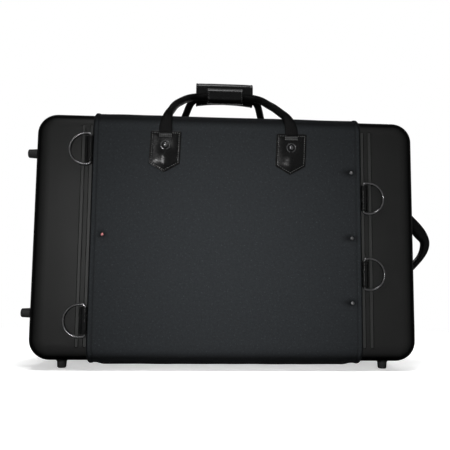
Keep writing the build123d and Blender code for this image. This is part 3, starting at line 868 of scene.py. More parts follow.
def hinge_height(x, y):
    """The strip's outer side: a little slack, and tucked in where it bends."""
    ripple = noise.noise(Vector((x * 45, y * 30, 2.7))) * hinge_slack
    return leaf_low.z + hinge_inset + ripple + hinge_tuck * hump(y, hinge_tuck_width)


hinge_points = [[(x, y, hinge_height(x, y)) for x in hinge_columns] for y in hinge_rows]
hinge_uvs = [[(x, y) for x in hinge_columns] for y in hinge_rows]
hinge_twill = woven_finish(
    "hinge_twill", ((0.009, 0.0093, 0.01), (0.02, 0.0205, 0.0215)), pitch=0.0008, relief=0.0001
)
hinge = thicken(grid_piece("textile_hinge", hinge_points, hinge_uvs, hinge_twill), hinge_wall)
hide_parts("base_hinge_leaf", "lid_hinge_leaf")
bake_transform(hinge)
for half, side in halves:
    rows = [
        [(x, side * y, hinge_height(x, side * y) - seam_sink) for x in hinge_columns]
        for y in hinge_seams
    ]
    finish_piece(stitched(half + "_hinge_stitches", rows, black_thread), half, "zip_tape")

# Four five-sided patches of glazed black leather are sewn to the fabric over its padding, with
# a stitched groove inside their edges. A domed rivet on a dished washer holds each through the
# shell.
patch_low, patch_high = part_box("base_handle_patches")
patch_half, patch_side, patch_wall = 0.024, 0.052, 0.0022
patch_x = patch_high.x - patch_half
patch_top = patch_high.z
patch_corners = [
    (-patch_half, 0.0), (patch_half, 0.0), (patch_half, -patch_side),
    (0.0, patch_low.z - patch_high.z), (-patch_half, -patch_side),
]
patch_radii = [0.003, 0.003, 0.0015, 0.0015, 0.0015]
patch_groove, patch_lean = 0.0034, 0.045
# How far in from the edge, and how high over the fabric.
patch_profile = [
    (0.0, 0.0), (0.0, 0.0012), (0.00015, 0.0017), (0.0005, 0.00205), (0.0011, 0.0022), (0.002, 0.0022),
    (0.0028, 0.0021), (patch_groove, 0.0018), (0.004, 0.0021), (0.005, 0.0023),
]
patch_profile += [(0.0065 + 0.002 * k, 0.0024) for k in range(9)]
patch_rivet_drop, patch_rivet_radius, patch_rivet_height = 0.0225, 0.0042, 0.0026
# The leather's own relief: a cushion, a ridge from below the rivet to the tip, and a dent round
# the rivet. Distances along the ridge are from the rivet.
cushion_height, cushion_ease = 0.0006, 0.008
ridge_height, ridge_half_width, ridge_start, ridge_ease = 0.0026, 0.0095, 0.0065, 0.007
ridge_fall_start, ridge_fall = 0.005, 0.039
dent_depth, dent_radius = 0.0008, 0.0085
leather_rumple = 0.00022
# The washer, as radius and height.
washer_profile = [
    (0.0072, 0.0), (0.0076, 0.0005), (0.0076, 0.0011), (0.0072, 0.0015), (0.0067, 0.0014), (0.0060, 0.0009),
    (0.0050, 0.0006), (0.0035, 0.0006), (0.0002, 0.0006),
]

glazing = grained(
    "glazed_leather", tones=((0.0012, 0.0013, 0.0013), (0.0024, 0.0025, 0.0025)), roughness=(0.22, 0.3),
    pit=0.0007, cloud=0.012, relief=0.00005, Specular_IOR_Level=0.07,
)
# Painted shade on the leather's edges.
glazing.painted_edge_shade(least=0.3, start=0.4, end=0.9)
glazed_leather = glazing.material
grey_thread = thread_finish("grey_thread", (0.06, 0.06, 0.06), (0.18, 0.18, 0.175))


def patch_swell(x, z, inset):
    """How far the leather's own relief stands out inside the groove."""
    swell = soft_step((inset - patch_groove) / cushion_ease)
    below = -patch_rivet_drop - z
    fall = min(max((below - ridge_fall_start) / ridge_fall, 0.0), 1.0)
    ridge = ridge_height * (1 - fall**2) * soft_step((below - ridge_start) / ridge_ease)
    ridge *= hump(x, ridge_half_width)
    dent = dent_depth * hump(hypot(x, below), dent_radius)
    rumple = noise.noise(Vector((x * 60, z * 60, 1.3))) * leather_rumple
    return swell * (cushion_height + ridge) - dent + rumple


def patch_leaning(across, up, side):
    """The base's patches were sewn on a little aslant, turned about their rivets."""
    return across + patch_lean * (up + patch_rivet_drop) if side < 0 else across


def patch_piece(name, x, side):
    points, uvs = [], []
    for inset, height in patch_profile:
        row, row_uv = [], []
        for across, up in rounded_outline(patch_corners, patch_radii, inset):
            high = height
            if inset > patch_groove:
                high += patch_swell(across, up, inset)
            y = side * (half_depth + cloth + high)
            row.append((x + patch_leaning(across, up, side), y, patch_top + up))
            row_uv.append((across, up))
        points.append(row)
        uvs.append(row_uv + row_uv[:1])
    return grid_piece(name, points, uvs, glazed_leather, ring=True, capped=True)


def joined(name, pieces):
    """Makes one piece of several that share a finish."""
    work = bmesh.new()
    for piece in pieces:
        work.from_mesh(piece.data)
    mesh = bpy.data.meshes.new(name)
    work.to_mesh(mesh)
    work.free()
    mesh.materials.append(pieces[0].data.materials[0])
    for piece in pieces:
        bpy.data.objects.remove(piece)
    whole = bpy.data.objects.new(name, mesh)
    bpy.context.scene.collection.objects.link(whole)
    return whole


def turned(name, profile, place, axis, material, around):
    """A turned piece: pairs of radius and height about an axis."""
    out = Vector(axis).normalized()
    first = out.orthogonal().normalized()
    second = out.cross(first)
    points, uvs = [], []
    for radius, height in profile:
        row = []
        for j in range(around):
            a = tau * j / around
            row.append(Vector(place) + out * height + (first * cos(a) + second * sin(a)) * radius)
        points.append(row)
        uvs.append([(radius * tau * j / around, height) for j in range(around + 1)])
    return grid_piece(name, points, uvs, material, ring=True, capped=True)


def turnings(name, profile, places, axis, material, around):
    """The same turned piece at several places, as one."""
    return joined(name, [turned("one", profile, place, axis, material, around) for place in places])


def domed_head(radius, height):
    """A rivet head's profile, in shares of its size: a thin skirt, a shoulder and a dome."""
    skirt, shoulder, dome_radius, dome_steps = 0.16 * height, 0.2 * height, 0.88 * radius, 9
    profile = [(0.94 * radius, 0.0), (radius, skirt / 2), (0.97 * radius, skirt), (0.9 * radius, shoulder)]
    for step in range(1, dome_steps):
        a = pi / 2 * step / dome_steps
        profile.append((dome_radius * cos(a), shoulder + (height - shoulder) * sin(a)))
    return profile + [(0.0002, height)]


def metal_finish(name, tones, roughness):
    return grained(name, tones, roughness, pit=0.0005, cloud=0.004, Metallic=1.0).material


black_nickel = metal_finish("black_nickel", ((0.035, 0.035, 0.036), (0.07, 0.07, 0.072)), (0.14, 0.24))
patch_face = half_depth + cloth + patch_wall
patch_head = domed_head(patch_rivet_radius, patch_rivet_height)
# These stitches, and those further on, are given as pitch, length and width.
patch_stitch = (0.0035, 0.0019, 0.0006)
groove = rounded_outline(patch_corners, patch_radii, patch_groove)
for half, side in halves:
    patches = joined(half + "_patches", [patch_piece("patch", end * patch_x, side) for end in (-1, 1)])
    finish_piece(patches, half, "black_leather", half + "_handle_patches")
    lines = []
    for end in (-1, 1):
        y = side * (patch_face - 0.0002)
        line = [(end * patch_x + patch_leaning(x, z, side), y, patch_top + z) for x, z in groove]
        lines.append(line + line[:1])
    seams = stitched(half + "_patch_stitches", lines, grey_thread, *patch_stitch)
    finish_piece(seams, half, "black_leather")
    for name, profile, sunk, around, nodes in (
        ("_patch_rivets", patch_head, 0.0003, 36, [half + "_handle_rivets"]),
        ("_patch_washers", washer_profile, 0.0006, 40, []),
    ):
        y, z = side * (patch_face - sunk), patch_top - patch_rivet_drop
        places = [(-patch_x, y, z), (patch_x, y, z)]
        heads = turnings(half + name, profile, places, (0, side, 0), black_nickel, around)
        finish_piece(heads, half, "dark_rivets", *nodes)

# Two woven loops make the carrying handle. Each starts flat on its leather patches, bends over
# the case's edge and is rolled and sewn into a round tube that runs through a leather sleeve.
root_half_width, root_half_thickness, root_gap = 0.010, 0.0012, 0.0003
root_y = patch_face + root_gap + root_half_thickness
# Y, Z, half width, half thickness and share of the way to the tube's start in X.
root_steps = [
    (root_y, patch_top - 0.0032, root_half_width, root_half_thickness, 0.0),
    (half_depth + 0.0053, patch_top + 0.0042, root_half_width, root_half_thickness, 0.0),
    (half_depth + 0.0025, patch_top + 0.0159, 0.0090, 0.0025, 0.15),
    (half_depth - 0.0043, patch_top + 0.0279, 0.0074, 0.0046, 0.5),
]
tube_radius, route_steps = 0.0065, 9
front_sleeve_low, front_sleeve_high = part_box("front_grip_sleeve")
rear_sleeve_low, rear_sleeve_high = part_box("rear_grip_sleeve")
grip_z = (front_sleeve_low.z + front_sleeve_high.z) / 2
front_grip_y = -(front_sleeve_low.y + front_sleeve_high.y) / 2
rear_grip_y = (rear_sleeve_low.y + rear_sleeve_high.y) / 2
# The tubes' routes, as X, distance from the parting plane and Z.
front_route = [
    (-patch_x + 0.0064, 0.100, case_top + 0.011),
    (-patch_x + 0.0185, 0.058, case_top + 0.0385),
    (-0.046, front_grip_y, grip_z),
    (0.046, front_grip_y, grip_z),
    (patch_x - 0.0241, 0.055, case_top + 0.0382),
    (patch_x - 0.011, 0.100, case_top + 0.011),
]
rear_route = [
    (-patch_x + 0.0085, 0.100, case_top + 0.011),
    (-patch_x + 0.0275, 0.060, case_top + 0.0485),
    (-0.057, rear_grip_y + 0.0012, grip_z - 0.0012),
    (-0.035, rear_grip_y, grip_z + 0.0028),
    (0.035, rear_grip_y, grip_z + 0.0028),
    (0.058, rear_grip_y + 0.0012, grip_z - 0.0012),
    (patch_x - 0.0255, 0.060, case_top + 0.0485),
    (patch_x - 0.0085, 0.100, case_top + 0.011),
]


def flowing(points, steps):
    """Points on a smooth line through given points, each a tuple of any numbers."""
    out = []
    for i in range(len(points) - 1):
        before = points[max(i - 1, 0)]
        start, end = points[i], points[i + 1]
        after = points[min(i + 2, len(points) - 1)]
        for k in range(steps):
            t = k / steps
            out.append(tuple(
                0.5 * (
                    2 * b + (c - a) * t + (2 * a - 5 * b + 4 * c - d) * t * t
                    + (3 * b - a - 3 * c + d) * t**3
                )
                for a, b, c, d in zip(before, start, end, after)
            ))
    return out + [tuple(points[-1])]


def swept(name, stations, first_width, material, around=28, flatten=2.0, closed=False, last_width=None):
    """A tube of changing oval section. A station is a point, a half width and a half thickness.

    Where last_width is given, the middle of the tube turns until its far end lies that way.
    """
    places = [Vector(st[:3]) for st in stations]
    last = len(places) - 1
    ways = [(places[min(i + 1, last)] - places[max(i - 1, 0)]).normalized() for i in range(last + 1)]
    wide = Vector(first_width)
    widths = []
    for ahead in ways:
        wide = (wide - ahead * wide.dot(ahead)).normalized()
        widths.append(wide)
    twist = 0.0
    if last_width:
        aim = Vector(last_width)
        twist = atan2(ways[-1].dot(wide.cross(aim)), wide.dot(aim))
    points, uvs, run = [], [], 0.0
    for i, place in enumerate(places):
        ahead = ways[i]
        wide = Matrix.Rotation(twist * soft_step(2 * i / last - 0.5), 3, ahead) @ widths[i]
        thick = ahead.cross(wide)
        half_wide, half_thick = stations[i][3], stations[i][4]
        run += (place - places[i - 1]).length if i else 0.0
        girth = pi * (half_wide + half_thick)
        row, row_uv = [], []
        for j in range(around):
            a = tau * j / around
            c, s = cos(a), sin(a)
            c = abs(c) ** (2 / flatten) * (1 if c >= 0 else -1)
            s = abs(s) ** (2 / flatten) * (1 if s >= 0 else -1)
            row.append(place + wide * (half_wide * c) + thick * (half_thick * s))
            row_uv.append((girth * j / around, run))
        points.append(row)
        uvs.append(row_uv + [(girth, run)])
    piece = grid_piece(name, points, uvs, material, ring=True, capped=not closed)
    if closed:
        face_outwards(piece.data)
    return piece


black_webbing = woven_finish(
    "black_webbing", ((0.0018, 0.0018, 0.0018), (0.0058, 0.0058, 0.0058)),
    pitch=0.0016, relief=0.0002, cloud=0.006, roughness=(0.6, 0.85), shine=0.03,
)


def loop_stations(route, side):
    """The loop from one patch to the other, with its sections."""
    knots = []
    for y, z, wide, thick, share in root_steps:
        knots.append((-patch_x + share * (patch_x + route[0][0]), y, z, wide, thick))
    knots += [(*point, tube_radius, tube_radius) for point in route]
    for y, z, wide, thick, share in reversed(root_steps):
        knots.append((patch_x - share * (patch_x - route[-1][0]), y, z, wide, thick))
    return [(x, side * y, *rest) for x, y, *rest in flowing(knots, route_steps)]


along_x = (1, 0, 0)
for handle, route, side in (("front", front_route, -1), ("rear", rear_route, 1)):
    stations = loop_stations(route, side)
    loop = swept(handle + "_handle_webbing", stations, along_x, black_webbing, last_width=along_x)
    finish_piece(loop, handle + "_handle", "webbing", handle + "_handle_loop")

# The sewn ends of that webbing lie on the patches just over the rivets, folded under and held
# by two rows of stitches, so they are lumpy. Their cloth is painted a lighter grey, as a painted glint.
end_low, end_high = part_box("base_webbing_ends")
end_half_width, end_half_thickness = 0.01, 0.0011
width_lumps, thickness_lumps, lumps_per_metre = 0.0004, 0.00022, 1500
end_rounding, end_rounding_share = 0.0012, 0.4
end_seams, seam_half, seam_proud = (0.0018, 0.0046), 0.0088, 0.002
end_stitch = (0.0026, 0.0019, 0.0006)
# Painted glint: these tones are lighter than the rest of the webbing's.
webbing_painted_glint = woven_finish(
    "webbing_painted_glint", ((0.012, 0.0122, 0.0122), (0.035, 0.0355, 0.0355)),
    pitch=0.0016, relief=0.0003, cloud=0.003, roughness=(0.7, 0.95), flecks=1.5, shine=0.03,
)


def webbing_end(x, side):
    stations = []
    for z in spaced([(end_low.z, 0.0006), (end_high.z, 0.001)]):
        lump = sin((z - end_low.z) * lumps_per_metre) + noise.noise(Vector((x * 9, z * 200, side)))
        rounding = soft_step(min(z - end_low.z, end_high.z - z + 0.002) / end_rounding)
        thick = end_half_thickness - thickness_lumps * abs(lump)
        thick *= 1 - end_rounding_share * (1 - rounding)
        y = side * (patch_face + end_half_thickness)
        stations.append((x, y, z, end_half_width + width_lumps * lump, thick))
    return swept("end", stations, along_x, webbing_painted_glint, around=36, flatten=5.0)


for half, side in halves:
    ends = joined(half + "_sewn_ends", [webbing_end(end * patch_x, side) for end in (-1, 1)])
    finish_piece(ends, half, "webbing", half + "_webbing_ends")
    y = side * (patch_face + seam_proud)
    lines = [
        [(end * patch_x + across * seam_half, y, end_low.z + up) for across in (-1, 1)]
        for end in (-1, 1)
        for up in end_seams
    ]
    seams = stitched(half + "_end_stitches", lines, grey_thread, *end_stitch)
    finish_piece(seams, half, "webbing")

# The grip is two glazed leather sleeves, one round each loop. The front one has a flap that
# closes over its face, the rear one stands up behind it. Both are bound at their ends.
sleeve_wall, sleeve_lip, sleeve_belly = 0.002, 0.0008, -0.0003
sleeve_wrinkle = 0.00022
# How far from the sleeve's end, and how far in from its box: the binding and the leather.
sleeve_profile = [
    (0.0, 0.0013), (0.0, 0.0006), (0.0004, 0.0), (0.0012, -0.0002), (0.0026, -0.0002), (0.0034, 0.0001),
    (0.0042, 0.0003), (0.0052, 0.0002), (0.009, 0.0), (0.017, -0.0001), (0.028, -0.0002),
]


def sleeve_piece(name, node, arch):
    """A leather sleeve with bound ends, open through its length, its lower side arched up."""
    low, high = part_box(node)
    half_length = (high.x - low.x) / 2
    corners = [(low.y, low.z), (high.y, low.z), (high.y, high.z), (low.y, high.z)]
    radii = [(high.y - low.y) / 2 * 0.96] * 4
    stations = [(d - half_length, inset) for d, inset in sleeve_profile]
    stations += [(0.0, sleeve_belly)]
    stations += [(half_length - d, inset) for d, inset in reversed(sleeve_profile)]
    stations += [(x, sleeve_wall) for x in (half_length - sleeve_lip, 0.0, sleeve_lip - half_length)]
    stations += stations[:1]
    points, uvs = [], []
    for x, inset in stations:
        row = []
        for y, z in rounded_outline(corners, radii, inset, 9, 4):
            wrinkle = noise.noise(Vector((x * 90, y * 50, z * 50))) * sleeve_wrinkle
            raised = arch * (1.3 - (x / half_length) ** 2) * (high.z - z) / (high.z - low.z)
            row.append((x, y * (1 + wrinkle * 4), z + wrinkle + raised))
        points.append(row)
        uvs.append([(x, 0.002 * j) for j in range(len(row) + 1)])
    piece = grid_piece(name, points, uvs, glazed_leather, ring=True)
    face_outwards(piece.data)
    return piece


for handle, arch in (("front", 0.0), ("rear", 0.0045)):
    sleeve = sleeve_piece(handle + "_sleeve", handle + "_grip_sleeve", arch)
    finish_piece(sleeve, handle + "_handle", "black_leather", handle + "_grip_sleeve")

flap_half, flap_arch, flap_proud, flap_wall = 0.031, 0.0026, 0.0004, 0.0011
flap_bottom, flap_top = front_sleeve_low.z, front_sleeve_high.z + 0.0022
flap_middle_y = (front_sleeve_low.y + front_sleeve_high.y) / 2
flap_round = (front_sleeve_high.y - front_sleeve_low.y) / 2
# It starts this far behind the top, and turns this far over the top and under the grip.
flap_start, flap_top_turn, flap_lower_turn = radians(40), radians(130), radians(62)
flap_steps, flap_edge, flap_seam_inset = 44, 0.0012, 0.0022
fine_stitch = (0.003, 0.0019, 0.0005)


def flap_point(x, step):
    """A point of the flap, from behind its top round the front to its arched lower edge."""
    top_run = flap_round * flap_top_turn
    drop = flap_top - flap_bottom - 2 * flap_round
    lower_run = flap_round * flap_lower_turn - flap_arch * (1 - (x / flap_half) ** 2)
    run = step / flap_steps * (top_run + drop + lower_run)
    reach = flap_round + flap_proud + flap_wall
    if run < top_run:
        a = flap_start - run / flap_round
        return (x, flap_middle_y + reach * sin(a), flap_top - flap_round + reach * cos(a))
    if run < top_run + drop:
        return (x, flap_middle_y - reach, flap_top - flap_round - (run - top_run))
    a = (run - top_run - drop) / flap_round
    return (x, flap_middle_y - reach * cos(a), flap_bottom + flap_round - reach * sin(a))


flap_columns = spaced([
    (-flap_half, 0.0003), (-flap_half + flap_edge, 0.002), (flap_half - flap_edge, 0.0003),
    (flap_half, 0.001),
])
flap_points = [[flap_point(x, step) for x in flap_columns] for step in range(flap_steps + 1)]
flap_uvs = [[(x, step * 0.001) for x in flap_columns] for step in range(flap_steps + 1)]
flap = grid_piece("grip_flap", flap_points, flap_uvs, glazed_leather)
finish_piece(thicken(flap, -flap_wall), "front_handle", "black_leather")
flap_lines = []
for end in (-1, 1):
    x = end * (flap_half - flap_seam_inset)
    line = [Vector(flap_point(x, step)) for step in range(2, flap_steps - 1)]
    flap_lines.append([(point.x, point.y - 0.0001, point.z) for point in line])
flap_seams = stitched("flap_stitches", flap_lines, grey_thread, *fine_stitch)
finish_piece(flap_seams, "front_handle", "black_leather")

# Four D rings of bent wire take the shoulder straps. Each lies outwards on the shell, its bar
# through a folded leather tab that is glued down in the groove beside the fabric.
ring_sides = {"ring_upper_left": -1, "ring_lower_left": -1, "ring_upper_right": 1, "ring_lower_right": 1}
rings = {}
for name, side in ring_sides.items():
    low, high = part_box(name)
    rings[name] = (side, (low.z + high.z) / 2)
ring_bar_x, ring_wire, ring_gap, ring_lift = 0.2123, 0.00175, 0.0003, 0.00485
ring_radius, ring_offset, ring_bend = 0.0242, 0.0085, 0.0034
ring_bar_y = half_depth + ring_lift
ring_tilt = asin((ring_lift - ring_wire - ring_gap) / (ring_radius + ring_offset))
bend_steps, bow_steps = 8, 24
tab_half_length, tab_leather = 0.02, 0.0013
# The tab's two leaves, as distances from the bar's centre outwards along the case and off it.
tab_lower_leaf = [(0.0078, -0.0041), (0.0046, -0.0040), (0.0032, -0.0034), (0.0012, -0.0028)]
tab_upper_leaf = [(0.0021, 0.00205), (0.0038, 0.0005), (0.0056, -0.0014), (0.0078, -0.0027)]
tab_taper, tab_taper_length = 0.06, 0.0008
tab_seam_x, tab_seam_y, tab_seam_half = 0.0062, 0.0015, 0.0175


def ring_line():
    """The D's centre line in its own plane, from the bar's middle back to it."""
    bend_z = ((ring_radius - ring_bend) ** 2 - (ring_offset - ring_bend) ** 2) ** 0.5
    turn_to = atan2(bend_z, ring_bend - ring_offset)
    upper = [(0.0, 0.0), (0.0, bend_z * 0.5)]
    for k in range(bend_steps + 1):
        a = pi + (turn_to - pi) * k / bend_steps
        upper.append((ring_bend + ring_bend * cos(a), bend_z + ring_bend * sin(a)))
    for k in range(1, bow_steps + 1):
        a = turn_to * (1 - k / bow_steps)
        upper.append((ring_offset + ring_radius * cos(a), ring_radius * sin(a)))
    return upper + [(x, -z) for x, z in reversed(upper[:-1])]


def ring_piece(name, side, z):
    stations = []
    for across, up in ring_line():
        x = side * (ring_bar_x + cos(ring_tilt) * across)
        stations.append((x, sin(ring_tilt) * across - ring_bar_y, z + up, ring_wire, ring_wire))
    out = (side * sin(ring_tilt), -cos(ring_tilt), 0)
    return swept(name, stations, out, ring_nickel, around=20, closed=True)


def tab_piece(side, z):
    """Leather folded round the bar, with both leaves down in the groove."""
    middle = (ring_wire + ring_gap) + tab_leather / 2
    round_bar = [radians(-90 - 22.5 * k) for k in range(9)]
    fold = tab_lower_leaf + [(middle * cos(a), middle * sin(a)) for a in round_bar] + tab_upper_leaf
    path = [Vector(point) for point in flowing(fold, 3)]
    outer, inner = [], []
    for i, point in enumerate(path):
        along = (path[min(i + 1, len(path) - 1)] - path[max(i - 1, 0)]).normalized()
        away = Vector((-along.y, along.x)) * (tab_leather / 2)
        outer.append(point + away)
        inner.append(point - away)
    section = outer + inner[::-1]
    points, uvs = [], []
    for up in spaced([
        (-tab_half_length, 0.0003), (0.0006 - tab_half_length, 0.004),
        (tab_half_length - 0.0006, 0.0003), (tab_half_length, 0.001),
    ]):
        ease = 1 - tab_taper * (1 - soft_step((tab_half_length - abs(up)) / tab_taper_length))
        points.append([(side * (ring_bar_x + p.x * ease), -ring_bar_y - p.y * ease, z + up) for p in section])
        uvs.append([(j * 0.001, up) for j in range(len(section) + 1)])
    return grid_piece("tab", points, uvs, glazed_leather, ring=True, capped=True)


ring_nickel = metal_finish("ring_nickel", ((0.035, 0.035, 0.036), (0.075, 0.075, 0.076)), (0.12, 0.2))
for name, (side, z) in rings.items():
    finish_piece(ring_piece(name + "_wire", side, z), name, "nickel_rings", name)
tabs = joined("leather_tabs", [tab_piece(side, z) for side, z in rings.values()])
finish_piece(tabs, "base", "black_leather", "ring_tabs")
tab_lines = [
    [(side * (ring_bar_x + tab_seam_x), tab_seam_y - ring_bar_y, z + end * tab_seam_half) for end in (-1, 1)]
    for side, z in rings.values()
]
tab_seams = stitched("tab_stitches", tab_lines, grey_thread, *fine_stitch)
finish_piece(tab_seams, "base", "black_leather")

# Rivets through the fabric: one coppery head at the left and a column of silver ones at the
# right, each drawn down into the padding.
cover_rivet_height, cover_rivet_sunk = 0.0015, 0.0002
cover_head = domed_head(rivet_radius, cover_rivet_height)
head_y = cover_rivet_sunk - half_depth - cloth
copper = metal_finish("rivet_copper", ((0.12, 0.045, 0.045), (0.24, 0.1, 0.1)), (0.3, 0.45))
silver = metal_finish("rivet_silver", ((0.05, 0.05, 0.051), (0.11, 0.11, 0.112)), (0.3, 0.42))
for name, places, metal, slot, node in (
    ("copper_rivet_head", rivet_places[:1], copper, "copper_rivet", "cover_rivet_left"),
    ("silver_rivet_heads", rivet_places[1:], silver, "silver_rivets", "cover_rivets_right"),
):
    heads = turnings(name, cover_head, [(x, head_y, z) for x, z in places], (0, -1, 0), metal, 24)
    finish_piece(heads, "base", slot, node)

# A short carrying strap of doubled webbing bows out from the right end. Its flat ends are
# riveted to the shell and stitched across.
strap_low, strap_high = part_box("end_strap")
strap_middle_y = (strap_low.y + strap_high.y) / 2
strap_middle_z = (strap_low.z + strap_high.z) / 2
strap_half_width = (strap_high.y - strap_low.y) / 2
strap_half_length = (strap_high.z - strap_low.z) / 2
strap_reach = strap_high.x - case_half_length
strap_foot, strap_half_root, strap_end_rounding = 0.003, 0.076, 0.0015
strap_half_wall, strap_narrowing = 0.006, 0.0022
# How much thicker its upper flank is and how much thinner its lower one, and over what length.
upper_flank, upper_flank_run = 0.0032, 0.018
lower_flank, lower_flank_run = 0.0017, 0.03
strap_rivet_z, strap_rivet_radius, strap_rivet_height = 0.091, 0.0042, 0.0019
strap_seam_offset, strap_seam_half, strap_seam_proud = 0.011, 0.0105, 0.0001
strap_stitch = (0.003, 0.0022, 0.0007)


def strap_stations():
    """The strap leaves its ends flat, bows out, and is thickest where it is folded back at the top."""
    stations = []
    rise = strap_reach - strap_foot
    for z in spaced([
        (-strap_half_length, 0.001), (-strap_half_length + 0.002, 0.005), (-strap_half_root, 0.003),
        (strap_half_root, 0.005), (strap_half_length - 0.002, 0.001), (strap_half_length, 0.001),
    ]):
        share = min(abs(z) / strap_half_root, 1.0)
        outer = strap_foot + rise * (1 - share**2) ** 2
        slope = rise * 4 * share * (1 - share**2) / strap_half_root
        lean = (1 + slope**2) ** 0.5
        thick = strap_half_wall
        thick += upper_flank * soft_step(z / upper_flank_run)
        thick -= lower_flank * soft_step(-z / lower_flank_run)
        thick = min(thick, outer / (2 * lean))
        x = case_half_length + outer - thick * lean
        edge = soft_step((strap_half_length - abs(z)) / strap_end_rounding)
        width = strap_half_width - strap_narrowing * (1 - share**2)
        stations.append((x, strap_middle_y, strap_middle_z + z, width, thick * (0.5 + 0.5 * edge)))
    return stations


strap = swept("end_strap_webbing", strap_stations(), (0, 1, 0), black_webbing, around=36, flatten=3.6)
finish_piece(strap, "base", "webbing", "end_strap")
strap_head = domed_head(strap_rivet_radius, strap_rivet_height)
strap_face = case_half_length + strap_foot
strap_places, strap_lines = [], []
for end in (-1, 1):
    z = strap_middle_z + end * strap_rivet_z
    strap_places.append((strap_face - 0.0001, strap_middle_y, z))
    for offset in (-strap_seam_offset, strap_seam_offset):
        x = strap_face + strap_seam_proud
        line = [(x, strap_middle_y + across * strap_seam_half, z + offset) for across in (-1, 1)]
        strap_lines.append(line)
strap_heads = turnings("end_strap_heads", strap_head, strap_places, along_x, black_nickel, 32)
finish_piece(strap_heads, "base", "dark_rivets", "end_strap_rivets")
strap_seams = stitched("end_strap_stitches", strap_lines, black_thread, *strap_stitch)
finish_piece(strap_seams, "base", "webbing")

# Sliders and pullers are cast in one piece each and enamelled black, with a little wear in the
# gloss.
enamel = grained(
    "black_enamel", tones=((0.008, 0.008, 0.0085), (0.02, 0.02, 0.021)), roughness=(0.3, 0.45),
    pit=0.0008, cloud=0.005, relief=0.00004, Specular_IOR_Level=0.25,
)
for runner in ("left", "right", "pocket"):
    dress(enamel, runner + "_slider", runner + "_puller")

# Each half is lined with black plush, 8 mm thick with its foam and moulded to the shell. The
# pile is short.
liner_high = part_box("base_liner")[1]
liner_rim, liner_wall = -liner_high.y, 0.008
shell_wall = shell_high.x - liner_high.x
liner_gap, liner_softness, corner_steps = 0.0002, 0.0006, 7


def plush_finish(name, pile):
    return grained(
        name, tones=((0.012, 0.012, 0.014), (0.034, 0.034, 0.038)), roughness=(0.85, 0.98),
        pit=pile, cloud=0.05, relief=0.0004,
        Specular_IOR_Level=0.08, Sheen_Weight=0.25, Sheen_Roughness=0.4,
    ).material


plush = plush_finish("lining_plush", 0.0009)


def liner_rows(inset):
    """From the rim along the wall, round the edge and over the face: how far in, and how deep."""
    radius = edge_round - inset
    rows = [(inset, liner_rim + d) for d in (0.0, 0.0015, 0.004, 0.012, 0.03, 0.055)]
    rows += [(inset, half_depth - edge_round)]
    for k in range(1, corner_steps + 1):
        a = pi / 2 * k / corner_steps
        rows.append((inset + radius * (1 - cos(a)), half_depth - edge_round + radius * sin(a)))
    return rows + [(edge_round + d, half_depth - inset) for d in (0.02, 0.05, 0.09, 0.13, 0.16)]


def liner_piece(name, side):
    """Foam and plush that follow the shell's inside, open at the rim."""
    inner = liner_rows(shell_wall + liner_wall)[::-1]
    points, uvs = [], []
    for index, (inset, y) in enumerate(inner + liner_rows(shell_wall)):
        row = []
        for x, z in rounded_outline(case_corners, case_radii, inset, 8, 14):
            soft = 0.0
            if index < len(inner):
                soft = noise.noise(Vector((x * 24, z * 24, y * 24 + side))) * liner_softness
            row.append((x, side * (y - soft - liner_gap), z))
        points.append(row)
        uvs.append([(j * 0.01, index * 0.01) for j in range(len(row) + 1)])
    return grid_piece(name, points, uvs, plush, ring=True, capped=True)


for half, side in halves:
    finish_piece(liner_piece(half + "_lining", side), half, "plush_lining", half + "_liner")

# Two notched saddles in the base and two pads in the lid hold the instruments. They are foam
# blocks covered in the same plush, pulled tight, so their faces swell and their edges round off.
block_voxel, block_ease, block_ease_rounds = 0.0045, 0.6, 4
block_shrink, block_swell = 0.0012, 0.0035
cloth_pressure, cloth_frames = 4.0, 20
block_plush = plush_finish("block_plush", 0.001)


def padded_block(name, node):
    """A covered foam block: the node's form drawn in, remeshed and swelled by cloth pressure."""
    low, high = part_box(node)
    work = bmesh.new()
    work.from_mesh(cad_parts[node].data)
    bmesh.ops.remove_doubles(work, verts=work.verts, dist=1e-5)
    mesh = bpy.data.meshes.new(name)
    work.to_mesh(mesh)
    work.free()
    mesh.materials.clear()
    mesh.materials.append(block_plush)
    piece = bpy.data.objects.new(name, mesh)
    bpy.context.scene.collection.objects.link(piece)
    remesh = piece.modifiers.new("remesh", "REMESH")
    remesh.mode = "VOXEL"
    remesh.voxel_size = block_voxel
    ease = piece.modifiers.new("ease", "SMOOTH")
    ease.factor = block_ease
    ease.iterations = block_ease_rounds
    made_plain(piece)
    for vertex in piece.data.vertices:
        vertex.co -= vertex.normal * block_shrink
    start = [vertex.co.copy() for vertex in piece.data.vertices]
    swell = piece.modifiers.new("swell", "CLOTH")
    swell.settings.use_pressure = True
    swell.settings.uniform_pressure_force = cloth_pressure
    swell.settings.effector_weights.gravity = 0.0
    scene = bpy.context.scene
    for step in range(1, cloth_frames + 1):
        scene.frame_set(step)
    made_plain(piece)
    scene.frame_set(1)
    for vertex, begun in zip(piece.data.vertices, start):
        moved = vertex.co - begun
        if moved.length > block_swell:
            moved *= block_swell / moved.length
        place = begun + moved
        vertex.co = [min(max(place[i], low[i]), high[i]) for i in range(3)]
    finer = piece.modifiers.new("finer", "SUBSURF")
    finer.levels = 1
    finer.render_levels = 1
    made_plain(piece)
    piece.data.shade_smooth()
    return piece


for node in ("base_saddle_left", "base_saddle_right", "lid_pad_left", "lid_pad_right"):
    body = node.split("_")[0]
    finish_piece(padded_block(node + "_block", node), body, "plush_blocks", node)

